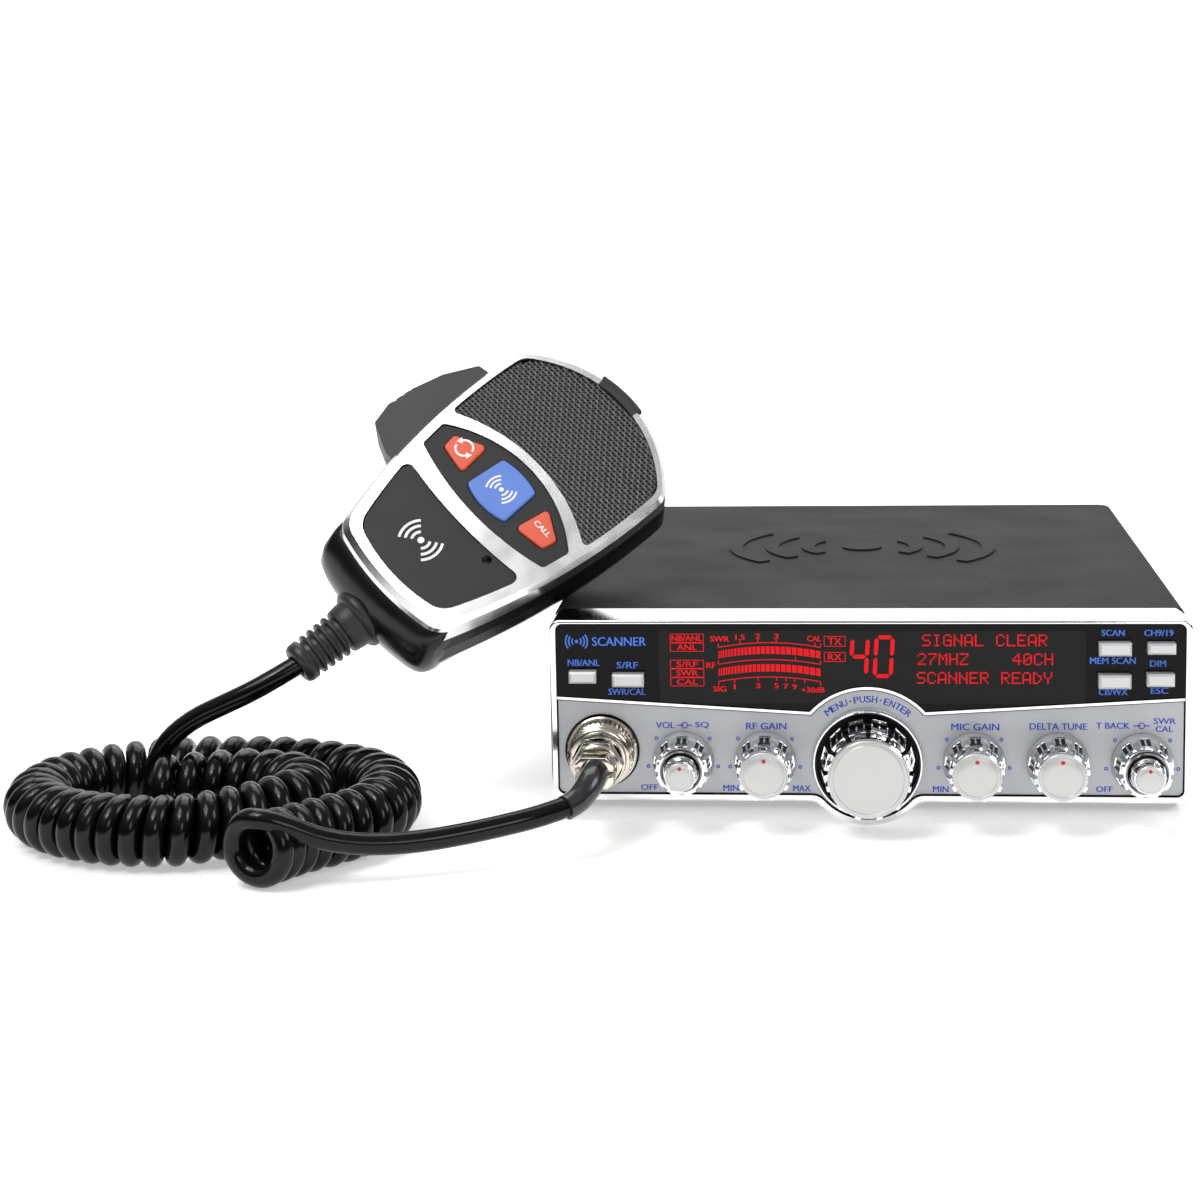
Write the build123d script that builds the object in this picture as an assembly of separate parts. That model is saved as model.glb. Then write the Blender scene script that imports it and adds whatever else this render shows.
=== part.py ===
from build123d import *
import os
from math import atan, degrees, pi, radians, tan

# Mobile two-way radio with a hand microphone on a curly cord.
# The row frame: origin on the surface it stands on, under the middle of the radio's case,
# +X to the right as seen by its user, +Y to the rear, +Z up. Millimetres.

os.makedirs("parts", exist_ok=True)

# ---- driving dimensions -------------------------------------------------------------
WIDTH = 184.0           # case and bezel
DEPTH = 215.0           # bezel front to the rear of the case
TOP = 60.8              # top of the case above the surface
FRONT = -DEPTH / 2      # front plane of the bezel
REAR = DEPTH / 2
BEZEL_DEPTH = 18.0
BEZEL_LOW = 7.2         # flat underside of the bezel
FRONT_STEP = 2.5        # rise of the case's underside next to the bezel
STEP_RUN = 10.0         # length of its slope
SHEET = 1.2             # cover sheet
SPLIT_Z = 24.0          # where the two covers meet
KNOB_Z = 18.9           # height of the row of knobs
BULGE_R = 18.9          # bulge of the bezel round the channel knob
RIM_SIDE = 1.9
RIM_TOP = 0.95
RIDGE_R = 21.9          # arch of the divider ridge over the channel knob
RIDGE_LOW = 32.4        # ridge height produced to the middle line
RIDGE_SLOPE = 0.0593
PANEL_Y = FRONT + 1.1   # front of the face panel and window
PANEL_T = 2.3
CARRIER_Y = FRONT + 3.9
BOARD_Y = FRONT + 10.5

SMALL_KNOB_X = {"rf_gain": -29.6, "mic_gain": 30.5, "delta_tune": 54.3}
DUAL_KNOB_X = {"volume": ("squelch", -53.4), "talkback": ("swr_cal", 78.2)}
LUGS = 9                # grip lugs round a small knob
SHAFT_R = 3.0
INNER_SHAFT_R = 1.8
POT_BORE_R = 3.35
SOCKET_X = -77.0
SOCKET_Z = 22.0

# button name: centre x, centre z, width, height
BUTTONS = {
    "noise_button": (-82.2, 44.3, 7.9, 3.5),
    "meter_button": (-69.0, 43.4, 9.2, 3.8),
    "scan_button": (70.0, 52.7, 9.1, 3.8),
    "priority_button": (83.0, 52.9, 7.8, 3.2),
    "band_button": (70.0, 43.3, 9.1, 4.0),
    "dim_button": (82.8, 43.8, 7.7, 3.7),
}
BUTTON_GAP = 0.3

# places on the sides as (y, z), and on the rear as (x, z)
CASE_SCREWS = [(-80.0, 46.0), (92.0, 46.0), (-80.0, 14.0), (92.0, 14.0)]
BRACKET_Y = 40.0
BRACKET_Z = 34.0
BRACKET_R = 2.5
HANGER_SCREWS = [(-18.0, 41.0), (-5.0, 41.0)]
ANTENNA = (62.0, 36.0)
POWER = (24.0, 22.0)
JACKS = [(8.0, 44.0), (24.0, 44.0)]
SPEAKER_Y = 3.0

# microphone: its own plane lies on the front of its frame, x across, y towards the head
MIC_PLANE = Plane(
    origin=(-109.4, -80.1, 94.4),
    x_dir=(0.6839, -0.3910, -0.6159),
    z_dir=(0.0816, -0.7979, 0.5972),
)
MIC_FRAME_T = 6.2
MIC_CROWN = 51.5        # head of the microphone
MIC_SHOULDER = 36.0     # where its straight side ends
MIC_DEPTH = 31.0
MIC_WALL = 1.8
HANG_Y = 4.0            # hang-up button, on the back
HANG_TURN = 50.2        # turn of the hanger about the button so that its slot stands upright
HANG_NECK_R = 4.0
HANGER_T = 1.6
PTT_PIVOT = (-31.5, 26.0)
PTT_Z = -14.0           # middle of the lever's thickness
MIC_SCREWS = [(0.0, 30.0), (-12.0, -30.0), (12.0, -30.0)]
MIC_BUTTON_SPOTS = [(-18.0, 1.5, "left"), (0.0, 1.4, "middle"), (18.0, 1.5, "right")]
CAPSULE = (14.9, -16.9)
BOOT_X = -1.7
BOOT_Z = -16.6

CABLE_D = 6.2
CURL_D = 20.4
PLUG_BACK = (SOCKET_X, PANEL_Y - 27.0, SOCKET_Z)
SLEEVE_END = (-81.5, -144.0, 16.5)


# ---- helpers ------------------------------------------------------------------------
def save(shape, name):
    export_step(shape, "parts/" + name + ".step")


def group(solids):
    return Compound(children=list(solids))


def block(x0, x1, y0, y1, z0, z1):
    middle = Pos((x0 + x1) / 2, (y0 + y1) / 2, (z0 + z1) / 2)
    return middle * Box(abs(x1 - x0), abs(y1 - y0), abs(z1 - z0))


def rod_y(x, z, y0, y1, radius):
    return Pos(x, (y0 + y1) / 2, z) * Rot(90, 0, 0) * Cylinder(radius, abs(y1 - y0))


def rod_x(y, z, x0, x1, radius):
    return Pos((x0 + x1) / 2, y, z) * Rot(0, 90, 0) * Cylinder(radius, abs(x1 - x0))


def facing(sketch, y_front, y_back):
    """Extrude a sketch drawn in x and z between two planes square to Y."""
    return extrude(Plane.XZ.offset(-y_back) * sketch, y_back - y_front)


def turned(x, z, shape):
    """Stand a shape built along +Z on the face panel, pointing forwards."""
    return Pos(x, PANEL_Y, z) * Rot(90, 0, 0) * shape


def on_mic(shape):
    return MIC_PLANE.location * shape


# ---- front outline ------------------------------------------------------------------
def front_shape(side, top, low, corner):
    """Outline of the bezel, drawn in x and z, moved in from its sides, top and underside."""
    z_low = BEZEL_LOW + low
    z_high = TOP - top
    body = Pos(0, (z_low + z_high) / 2) * RectangleRounded(
        WIDTH - 2 * side, z_high - z_low, corner)
    shape = body + Pos(0, KNOB_Z) * Circle(BULGE_R - low)
    joins = [v for v in shape.vertices() if abs(v.X) < 40 and abs(v.Y - z_low) < 0.01]
    return fillet(joins, 5.0)


def above_ridge(rise):
    """Region above the divider ridge, whose line is moved up by rise."""
    edge = WIDTH
    z_mid = RIDGE_LOW + rise
    z_edge = z_mid + RIDGE_SLOPE * edge
    region = make_face(Polyline(
        (-edge, z_edge), (0, z_mid), (edge, z_edge), (edge, 2 * TOP), (-edge, 2 * TOP), close=True))
    return region - Pos(0, KNOB_Z) * Circle(RIDGE_R + rise)


def button_slots(gap):
    slots = []
    for x, z, width, height in BUTTONS.values():
        slots.append(Pos(x, z) * Rectangle(width + 2 * gap, height + 2 * gap))
    return slots


def knob_places():
    return list(SMALL_KNOB_X.values()) + [x for _, x in DUAL_KNOB_X.values()]


def make_bezel():
    ring = facing(front_shape(0, 0, 0, 3.0), FRONT, FRONT + BEZEL_DEPTH)
    front_edges = ring.faces().sort_by(Axis.Y)[0].edges()
    ring = fillet(front_edges, 0.7)
    hole = facing(front_shape(RIM_SIDE, RIM_TOP, RIM_SIDE, 2.0), FRONT - 1, REAR)
    return ring - hole


def make_window():
    outline = front_shape(RIM_SIDE + 0.1, RIM_TOP + 0.1, RIM_SIDE + 0.1, 1.9) & above_ridge(0.55)
    window = facing(outline, PANEL_Y, PANEL_Y + PANEL_T)
    for slot in button_slots(BUTTON_GAP):
        window -= facing(slot, PANEL_Y - 1, PANEL_Y + PANEL_T + 1)
    return window


def make_divider():
    outline = front_shape(RIM_SIDE + 0.1, RIM_TOP, RIM_SIDE + 0.1, 1.9)
    outline &= above_ridge(-0.4) - above_ridge(0.35)
    return facing(outline, FRONT + 0.5, PANEL_Y + PANEL_T)


def make_face_panel():
    outline = front_shape(RIM_SIDE + 0.4, RIM_TOP, RIM_SIDE + 0.4, 1.6) - above_ridge(-0.8)
    panel = facing(outline, PANEL_Y, PANEL_Y + PANEL_T)
    panel -= rod_y(0, KNOB_Z, FRONT - 1, FRONT + 8, 15.2)
    panel -= rod_y(SOCKET_X, SOCKET_Z, FRONT - 1, FRONT + 8, 8.4)
    for x in knob_places():
        panel -= rod_y(x, KNOB_Z, FRONT - 1, FRONT + 8, SHAFT_R + 0.6)
    return panel


def make_carrier():
    outline = front_shape(RIM_SIDE + 0.2, RIM_TOP + 0.2, RIM_SIDE + 0.2, 1.8)
    carrier = facing(outline, CARRIER_Y, CARRIER_Y + 2.0)
    carrier -= block(-61, 63, FRONT, FRONT + 9, 35.5, 58.0)
    carrier -= rod_y(SOCKET_X, SOCKET_Z, FRONT, FRONT + 9, 8.4)
    carrier -= rod_y(0, KNOB_Z, FRONT, FRONT + 9, 5.4)
    for x in knob_places():
        carrier -= rod_y(x, KNOB_Z, FRONT, FRONT + 9, 4.7)
    for slot in button_slots(BUTTON_GAP):
        carrier -= facing(slot, FRONT, FRONT + 9)
    return carrier


def make_display():
    return block(-60, 62, CARRIER_Y - 0.4, FRONT + 8.4, 36.0, 57.6)


def make_front_board():
    board = block(-86, 86, BOARD_Y, BOARD_Y + 1.6, 10.5, 58.0)
    board -= rod_y(SOCKET_X, SOCKET_Z, BOARD_Y - 1, BOARD_Y + 3, 8.3)
    board -= rod_y(0, KNOB_Z, BOARD_Y - 1, BOARD_Y + 3, 5.4)
    for x in knob_places():
        board -= rod_y(x, KNOB_Z, BOARD_Y - 1, BOARD_Y + 3, 4.7)
    switches = []
    for x, z, _, _ in BUTTONS.values():
        switches.append(block(x - 2.2, x + 2.2, BOARD_Y - 1.6, BOARD_Y, z - 1.7, z + 1.7))
    return group([board] + switches)


def make_pot(x, body_half, bush_r):
    body = block(x - body_half, x + body_half, BOARD_Y + 1.7, BOARD_Y + 12, KNOB_Z - body_half,
                 KNOB_Z + body_half)
    body += rod_y(x, KNOB_Z, CARRIER_Y + 0.2, BOARD_Y + 2, bush_r)
    return body - rod_y(x, KNOB_Z, FRONT, BOARD_Y + 9.5, POT_BORE_R)


# ---- knobs --------------------------------------------------------------------------
def ribbed_barrel(radius, lug_r, z0, z1, lugs):
    """Round barrel with grip lugs spaced evenly about it."""
    barrel = Pos(0, 0, (z0 + z1) / 2) * Cylinder(radius, z1 - z0)
    width = 2 * pi * lug_r / lugs * 0.55
    for n in range(lugs):
        lug = Pos(lug_r / 2, 0, (z0 + z1) / 2) * Box(lug_r, width, z1 - z0)
        barrel += Rot(0, 0, n * 360 / lugs) * lug
    limit = Pos(0, 0, (z0 + z1) / 2) * Cylinder(lug_r, z1 - z0)
    return barrel & limit


def capped(radius, z0, z1, round_r):
    cap = Pos(0, 0, (z0 + z1) / 2) * Cylinder(radius, z1 - z0)
    top = cap.edges().group_by(Axis.Z)[-1]
    return fillet(top, round_r)


def base_ring():
    return Pos(0, 0, 2.2) * Cone(8.8, 8.0, 2.6)


def make_single_knob(x):
    knob = base_ring() + ribbed_barrel(6.9, 7.95, 3.4, 10.2, LUGS)
    knob += capped(6.9, 10.0, 16.7, 1.0)
    knob += Pos(0, 0, -7.4) * Cylinder(SHAFT_R, 18.0)
    return turned(x, KNOB_Z, knob)


def make_dual_outer(x):
    knob = base_ring() + ribbed_barrel(6.6, 7.4, 3.4, 12.0, LUGS)
    knob += Pos(0, 0, -4.4) * Cylinder(SHAFT_R, 12.0)
    knob -= Cylinder(INNER_SHAFT_R + 0.35, 60.0)
    return turned(x, KNOB_Z, knob)


def make_dual_inner(x):
    knob = capped(4.25, 12.5, 19.2, 0.8)
    knob += Pos(0, 0, -1.7) * Cylinder(INNER_SHAFT_R, 30.0)
    return turned(x, KNOB_Z, knob)


def make_channel_knob():
    knob = ribbed_barrel(11.4, 12.5, 2.2, 12.0, 12)
    knob += capped(11.4, 11.8, 20.2, 1.2)
    knob -= Pos(0, 0, 6.0) * Cylinder(SHAFT_R + 0.06, 20.0)
    return turned(0, KNOB_Z, knob)


def make_channel_shaft():
    shaft = Pos(0, 0, -1.2) * Cylinder(SHAFT_R, 33.2)
    return turned(0, KNOB_Z, shaft)


def make_knob_ring():
    ring = Pos(0, 0, 1.5) * (Cylinder(15.9, 3.0) - Cylinder(15.0, 4.0))
    dish = Pos(0, 0, -0.9) * (Cylinder(14.9, 1.0) - Cylinder(5.4, 2.0))
    rim = Cylinder(15.1, 2.8) - Cylinder(14.6, 4.0)
    return turned(0, KNOB_Z, ring + rim + dish)


def make_button(x, z, width, height):
    cap = block(x - width / 2, x + width / 2, FRONT - 2.5, FRONT + 3.2, z - height / 2,
                z + height / 2)
    front_edges = cap.faces().sort_by(Axis.Y)[0].edges()
    cap = chamfer(front_edges, 0.6)
    return cap + block(x - 1.2, x + 1.2, FRONT + 3.0, BOARD_Y - 2.8, z - 1.2, z + 1.2)


# ---- case ---------------------------------------------------------------------------
def case_block(inset, z0, z1, corner):
    shape = block(-WIDTH / 2 + inset, WIDTH / 2 - inset, FRONT + BEZEL_DEPTH, REAR - inset, z0, z1)
    uprights = shape.edges().filter_by(Axis.Z).group_by(Axis.Y)[-1]
    return fillet(uprights, corner)


def make_top_cover():
    outer = case_block(0, SPLIT_Z + 0.1, TOP, 5.0)
    top_edges = outer.faces().sort_by(Axis.Z)[-1].edges()
    rounded = [e for e in top_edges if e.center().Y > FRONT + BEZEL_DEPTH + 1]
    outer = fillet(rounded, 2.0)
    inner = case_block(SHEET, 0, TOP - SHEET, 4.0)
    cover = outer - inner - block(-86, 86, REAR - 3, REAR + 1, 0, 57.0)
    for side in (-1, 1):
        for y, z in CASE_SCREWS:
            if z > SPLIT_Z:
                cover -= rod_x(y, z, side * 80, side * 100, 1.4)
        cover -= rod_x(BRACKET_Y, BRACKET_Z, side * 80, side * 100, 4.05)
    for y, z in HANGER_SCREWS:
        cover -= rod_x(y, z, -100, -80, 1.55)
    return cover + make_emboss()


def make_emboss():
    """Raised mark on the top: a dot between pairs of arcs."""
    centre = Pos(0, 14, TOP)
    mark = centre * Cylinder(6.5, 1.3)
    for radius in (18.0, 30.0, 42.0):
        ring = centre * (Cylinder(radius + 2.2, 1.3) - Cylinder(radius - 2.2, 2.0))
        for side in (-1, 1):
            wedge = make_face(Polyline((0, 0), (side * 60, -52), (side * 60, 52), close=True))
            mark += ring & centre * extrude(wedge, 5, both=True)
    return mark


def make_bottom_cover():
    slope = atan(FRONT_STEP / STEP_RUN)
    wedge = Pos(0, FRONT + BEZEL_DEPTH + STEP_RUN, 0) * Rot(-degrees(slope), 0, 0)
    outer = case_block(0, 0, SPLIT_Z, 5.0) - wedge * Pos(0, -15, -5) * Box(200, 30, 10)
    inner = case_block(SHEET, SHEET, TOP, 4.0) - wedge * Pos(0, -15, -5 + SHEET) * Box(200, 30, 10)
    cover = outer - inner - block(-86, 86, REAR - 3, REAR + 1, 6.0, TOP)
    for n in range(-5, 6):
        half = (34.0 ** 2 - (6.0 * n) ** 2) ** 0.5
        slot = SlotOverall(2 * half, 2.6)
        cover -= Pos(0, SPEAKER_Y + 6.0 * n, 0) * extrude(slot, 3, both=True)
    for side in (-1, 1):
        for y, z in CASE_SCREWS:
            if z < SPLIT_Z:
                cover -= rod_x(y, z, side * 80, side * 100, 1.4)
    return cover


def make_case_screws():
    screws = []
    for side in (-1, 1):
        for y, z in CASE_SCREWS:
            screw = rod_x(y, z, side * 92, side * 93.5, 2.8)
            screws.append(screw + rod_x(y, z, side * 84.5, side * 92.5, 1.3))
    return group(screws)


def make_side_inserts():
    inserts = []
    for side in (-1, 1):
        insert = rod_x(BRACKET_Y, BRACKET_Z, side * 87.6, side * 92, 4.0)
        inserts.append(insert - rod_x(BRACKET_Y, BRACKET_Z, side * 80, side * 99, BRACKET_R))
    return group(inserts)


def make_chassis():
    rails = []
    for side in (-1, 1):
        rail = block(side * 86.0, side * 87.5, FRONT + 20, REAR - 4, 8.0, 56.0)
        for y, z in CASE_SCREWS:
            rail -= rod_x(y, z, side * 80, side * 95, 1.35)
        rail -= rod_x(BRACKET_Y, BRACKET_Z, side * 80, side * 95, BRACKET_R + 1.1)
        rails.append(rail)
    for y, z in HANGER_SCREWS:
        rails[0] -= rod_x(y, z, -95, -80, 1.55)
    frame = rails[0] + rails[1]
    return frame + block(-86.5, 86.5, FRONT + 24.5, FRONT + 26.0, 8.0, 56.0)


def make_rear_panel():
    panel = block(-85.6, 85.6, REAR - 3.2, REAR - 1.2, 6.4, 56.8)
    fins = block(-80, -10, REAR - 3.2, REAR + 1.0, 10.0, 53.0)
    panel += fins
    for n in range(12):
        x = -79.0 + 6.2 * n
        panel += block(x, x + 2.0, REAR - 2, REAR + 10.0, 10.0, 53.0)
    panel -= rod_y(ANTENNA[0], ANTENNA[1], REAR - 6, REAR + 2, 6.2)
    panel -= block(POWER[0] - 9.7, POWER[0] + 9.7, REAR - 6, REAR + 2, POWER[1] - 5.9, POWER[1] + 5.9)
    for x, z in JACKS:
        panel -= rod_y(x, z, REAR - 6, REAR + 2, 3.3)
    return panel


def make_antenna_socket():
    x, z = ANTENNA
    flange = block(x - 12.7, x + 12.7, REAR - 1.2, REAR + 0.8, z - 12.7, z + 12.7)
    socket = flange + rod_y(x, z, REAR, REAR + 14.5, 7.9) + rod_y(x, z, REAR - 12, REAR, 6.0)
    socket -= rod_y(x, z, REAR + 3, REAR + 16, 6.0)
    socket += rod_y(x, z, REAR, REAR + 11, 4.0)
    socket -= rod_y(x, z, REAR + 4, REAR + 16, 2.0)
    return socket


def make_power_socket():
    x, z = POWER
    body = block(x - 9.5, x + 9.5, REAR - 16, REAR - 0.2, z - 5.7, z + 5.7)
    body += block(x - 12, x + 12, REAR - 1.2, REAR + 0.6, z - 8, z + 8)
    body -= block(x - 8, x + 8, REAR - 13, REAR + 2, z - 4.2, z + 4.2)
    for n in (-1, 0, 1):
        body += rod_y(x + 5 * n, z, REAR - 14, REAR - 8, 1.1)
    return body


def make_jacks():
    jacks = []
    for x, z in JACKS:
        body = rod_y(x, z, REAR - 15, REAR - 1.2, 3.1) + rod_y(x, z, REAR - 1.2, REAR + 1.2, 4.6)
        jacks.append(body - rod_y(x, z, REAR - 12, REAR + 2, 1.8))
    return group(jacks)


def make_main_board():
    board = block(-80, 80, FRONT + 30, REAR - 20, 36.0, 37.6)
    board += block(-30, 10, -20, 25, 37.5, 52.0)
    board += block(24, 60, -30, 20, 37.5, 50.0)
    for n in range(5):
        board += Pos(-62 + 14 * n, 52, 43) * Cylinder(4.5, 12)
    return board


def make_speaker():
    basket = Pos(0, SPEAKER_Y, SHEET + 1.6) * Cylinder(38.5, 3.0)
    cone = Pos(0, SPEAKER_Y, SHEET + 9.1) * Cone(36.0, 18.0, 12.0)
    magnet = Pos(0, SPEAKER_Y, SHEET + 19.0) * Cylinder(20.0, 9.0)
    dish = Pos(0, SPEAKER_Y, SHEET + 5.0) * Cone(33.0, 10.0, 10.0)
    return basket + cone + magnet - dish


# ---- microphone socket and plug -----------------------------------------------------
def make_mic_socket():
    socket = rod_y(SOCKET_X, SOCKET_Z, PANEL_Y - 1.8, PANEL_Y - 0.05, 10.7)
    socket += rod_y(SOCKET_X, SOCKET_Z, PANEL_Y - 6.5, BOARD_Y + 3, 7.9)
    return socket


def make_mic_plug():
    ring = Pos(0, 0, 2.4) * extrude(RegularPolygon(9.6, 12), 10.0)
    ring -= Pos(0, 0, 4.5) * Cylinder(8.1, 5.0)
    body = Pos(0, 0, 15.6) * Cylinder(7.8, 7.5)
    clamp = Pos(0, 0, 23.1) * Box(11.2, 9.2, 7.8)
    return turned(SOCKET_X, SOCKET_Z, ring + body + clamp)


def make_plug_sleeve():
    """Tapered sleeve from the back of the plug, leaning the way that the cord leaves."""
    start = Vector(*PLUG_BACK)
    along = Vector(*SLEEVE_END) - start
    return Plane(origin=start + along * 0.5, z_dir=along) * Cone(4.4, 3.7, along.length)


# ---- cord ---------------------------------------------------------------------------
def route(points):
    """Straight runs joined by arcs as large as the runs allow."""
    points = [Vector(*p) for p in points]
    radii = []
    for before, here, after in zip(points, points[1:], points[2:]):
        turn = (here - before).get_angle(after - here)
        run = min((here - before).length, (after - here).length)
        radii.append(0.45 * run / tan(radians(turn) / 2))
    print("radii", [round(r, 1) for r in radii])
    return FilletPolyline(*points, radius=radii)


def tube(points, diameter, name):
    path = route(points)
    start = Plane(origin=path @ 0, z_dir=path % 0)
    solid = sweep(start * Circle(diameter / 2), path=path)
    ideal = pi * diameter ** 2 / 4 * path.length
    print(name, "length", round(path.length, 1), "volume ratio", round(solid.volume / ideal, 4))
    return solid


# plug to curl: out of the sleeve, sagging between the plug and the top of the first turn
TAIL_POINTS = [
    SLEEVE_END,
    (-88.5, -149.6, 15.0),
    (-99.0, -153.6, 13.2),
    (-111.7, -158.0, 11.4),
    (-124.7, -162.6, 10.4),
    (-137.6, -167.2, 11.1),
    (-148.5, -170.4, 13.8),
    (-156.5, -172.0, 17.2),
    (-165.0, -172.5, 19.2),
]

# the curl's middle line: once round an oval and then half round again inside it
CURL_POINTS = [
    (-165.0, -173.0, 10.5),
    (-159.0, -161.5, 10.4),
    (-149.5, -151.5, 10.4),
    (-140.5, -140.0, 10.4),
    (-137.4, -121.5, 10.4),
    (-142.5, -104.0, 10.4),
    (-158.0, -91.5, 10.4),
    (-179.0, -85.8, 10.4),
    (-202.0, -86.0, 10.4),
    (-224.5, -93.0, 10.4),
    (-239.5, -108.0, 10.4),
    (-241.5, -127.5, 10.4),
    (-231.0, -143.5, 10.4),
    (-212.5, -152.5, 10.4),
    (-193.5, -154.0, 10.4),
    (-179.0, -147.0, 11.0),
    (-168.0, -138.5, 12.0),
    (-161.0, -126.5, 12.4),
    (-165.5, -113.0, 12.4),
    (-180.0, -107.0, 12.0),
    (-195.0, -108.0, 11.5),
    (-210.0, -112.0, 11.0),
]

# end of the curl up to the microphone's boot
LEAD_POINTS = [
    (-209.5, -107.0, 18.0),
    (-206.0, -106.0, 24.8),
    (-198.5, -105.5, 31.0),
    (-188.5, -106.0, 35.6),
    (-177.0, -105.8, 41.0),
    (-166.35, -100.5, 47.0),
]


# ---- microphone ---------------------------------------------------------------------
def mic_outline(inset, tail):
    """Outline of the microphone in its own x and y, moved in by inset from its tail and sides."""
    side = 34.6 - inset
    waist = 33.9 - inset
    low = 23.4 - inset
    foot = tail + inset
    face = make_face([
        ThreePointArc((side, MIC_SHOULDER), (waist, 3.0), (low, foot + 3.0)),
        ThreePointArc((low, foot + 3.0), (0, foot), (-low, foot + 3.0)),
        ThreePointArc((-low, foot + 3.0), (-waist, 3.0), (-side, MIC_SHOULDER)),
        ThreePointArc((-side, MIC_SHOULDER), (0, MIC_CROWN - inset), (side, MIC_SHOULDER)),
    ])
    tops = [v for v in face.vertices() if v.Y > 20]
    face = fillet(tops, 7.0 - 0.3 * inset)
    bottoms = [v for v in face.vertices() if v.Y < foot + 5 and abs(v.X) > 10]
    return fillet(bottoms, 7.5)


def mic_stack(levels):
    """Loft through outlines at several depths: (z, inset, tail)."""
    sections = [Pos(0, 0, z) * mic_outline(inset, tail) for z, inset, tail in levels]
    return loft(sections, ruled=True)


def lens(rise, drop, half, end_high, end_low):
    upper = ThreePointArc((-half, end_high), (0, rise), (half, end_high))
    right = Line((half, end_high), (half - 1.3, end_low))
    lower = ThreePointArc((half - 1.3, end_low), (0, drop), (-half + 1.3, end_low))
    left = Line((-half + 1.3, end_low), (-half, end_high))
    face = make_face([upper, right, lower, left])
    return fillet(face.vertices(), 1.6)


def grille_area(inset):
    rim = mic_outline(3.3 + inset, -45.0)
    arch = ThreePointArc((-45, -4.0), (0, 15.3 + inset), (45, -4.0))
    cap = make_face([arch, Polyline((45, -4.0), (45, 70), (-45, 70), (-45, -4.0))])
    area = rim & cap
    lows = [v for v in area.vertices() if v.Y < 14]
    return fillet(lows, 1.5)


def lower_area(inset):
    rim = mic_outline(4.2 + inset, -45.0)
    arch = ThreePointArc((-45, -9.0), (0, -15.2 - inset), (45, -9.0))
    cap = make_face([arch, Polyline((45, -9.0), (45, -70), (-45, -70), (-45, -9.0))])
    area = rim & cap
    highs = [v for v in area.vertices() if v.Y > -18]
    return fillet(highs, 2.5)


def button_area(inset):
    face = lens(12.4, -10.3, 29.4, 2.6, -6.4)
    return offset(face, amount=-inset) if inset else face


def make_mic_frame():
    outer = mic_stack([(-MIC_FRAME_T, 0.0, -48.6), (-1.6, 0.2, -45.6), (0.0, 1.4, -45.0)])
    hollow = mic_stack([(-MIC_FRAME_T - 1, 1.8, -48.8), (-2.2, 2.4, -45.6)])
    frame = outer - hollow
    for area in (grille_area(0), lower_area(0), button_area(0)):
        frame -= Pos(0, 0, -4) * extrude(area, 6)
    frame -= ptt_space()
    return on_mic(frame)


def make_mic_shell():
    outer = mic_stack([
        (-MIC_FRAME_T - 0.05, 0.5, -49.0), (-11.0, 0.1, -51.4), (-17.0, 0.2, -52.4),
        (-24.0, 2.6, -51.8), (-29.0, 6.5, -48.4), (-MIC_DEPTH, 10.5, -46.5)])
    inner = mic_stack([
        (-MIC_FRAME_T + 1.0, 2.4, -47.0), (-11.0, 2.0, -49.4), (-17.0, 2.0, -50.2),
        (-23.0, 4.6, -49.4), (-27.6, 8.5, -46.4), (-MIC_DEPTH + MIC_WALL, 11.5, -45.0)])
    shell = outer - inner
    shell -= ptt_space()
    shell -= Pos(BOOT_X, -50, BOOT_Z) * Rot(90, 0, 0) * Cylinder(6.3, 16)
    shell -= Pos(0, HANG_Y, -MIC_DEPTH) * Cylinder(2.6, 8)
    for x, y in MIC_SCREWS:
        shell -= Pos(x, y, -MIC_DEPTH) * Cylinder(1.6, 8)
    return on_mic(shell)


def ptt_space():
    """Slot in the microphone's side that the push-to-talk lever works in."""
    return Pos(-37.0, 5.0, PTT_Z) * Box(24.0, 50.0, 15.4)


def make_ptt():
    outer = make_face(Polyline(
        (-31.5, 28.4), (-41.5, 26.5), (-46.5, 16.0), (-48.8, 5.5), (-49.3, -3.5), (-47.0, -10.8),
        (-36.5, -14.8), (-31.0, -14.8), (-29.5, 0.0), (-29.0, 20.0), close=True))
    outer = fillet([v for v in outer.vertices() if v.X < -34], 1.2)
    lever = Pos(0, 0, PTT_Z - 6.6) * extrude(outer, 13.2)
    lever -= Pos(PTT_PIVOT[0], PTT_PIVOT[1], PTT_Z) * Cylinder(1.25, 20)
    for n in range(8):
        groove = Pos(-49.6 + 0.042 * n ** 2, 3.1 * n - 1.0, PTT_Z) * Rot(0, 0, 8 + 2.5 * n)
        lever -= groove * Box(1.4, 1.2, 14)
    return on_mic(lever)


def make_ptt_pin():
    pin = Pos(PTT_PIVOT[0], PTT_PIVOT[1], PTT_Z) * Cylinder(1.2, 15.4)
    return on_mic(pin)


def make_mic_board():
    board = mic_stack([(-12.6, 4.6, -44.0), (-11.0, 4.6, -44.0)])
    board -= Pos(-37.0, 5.0, -12) * Box(31.0, 54.0, 15.4)
    board -= Pos(0, 28, -12) * Cylinder(16.8, 8)
    for x, y, _ in MIC_BUTTON_SPOTS:
        board += Pos(x, y, -10.3) * Box(4.5, 4.5, 2.0)
    board += Pos(-17.2, -4.0, -14.8) * Box(7.0, 12.0, 6.0)
    return on_mic(board)


def red_button(side, grow):
    points = [(23.0, -2.3), (23.9, 2.5), (14.2, 7.6), (12.5, -3.9)]
    face = make_face(Polyline(*[(side * x, y) for x, y in points], close=True))
    face = fillet(face.vertices(), 1.3)
    return offset(face, amount=grow) if grow else face


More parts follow.
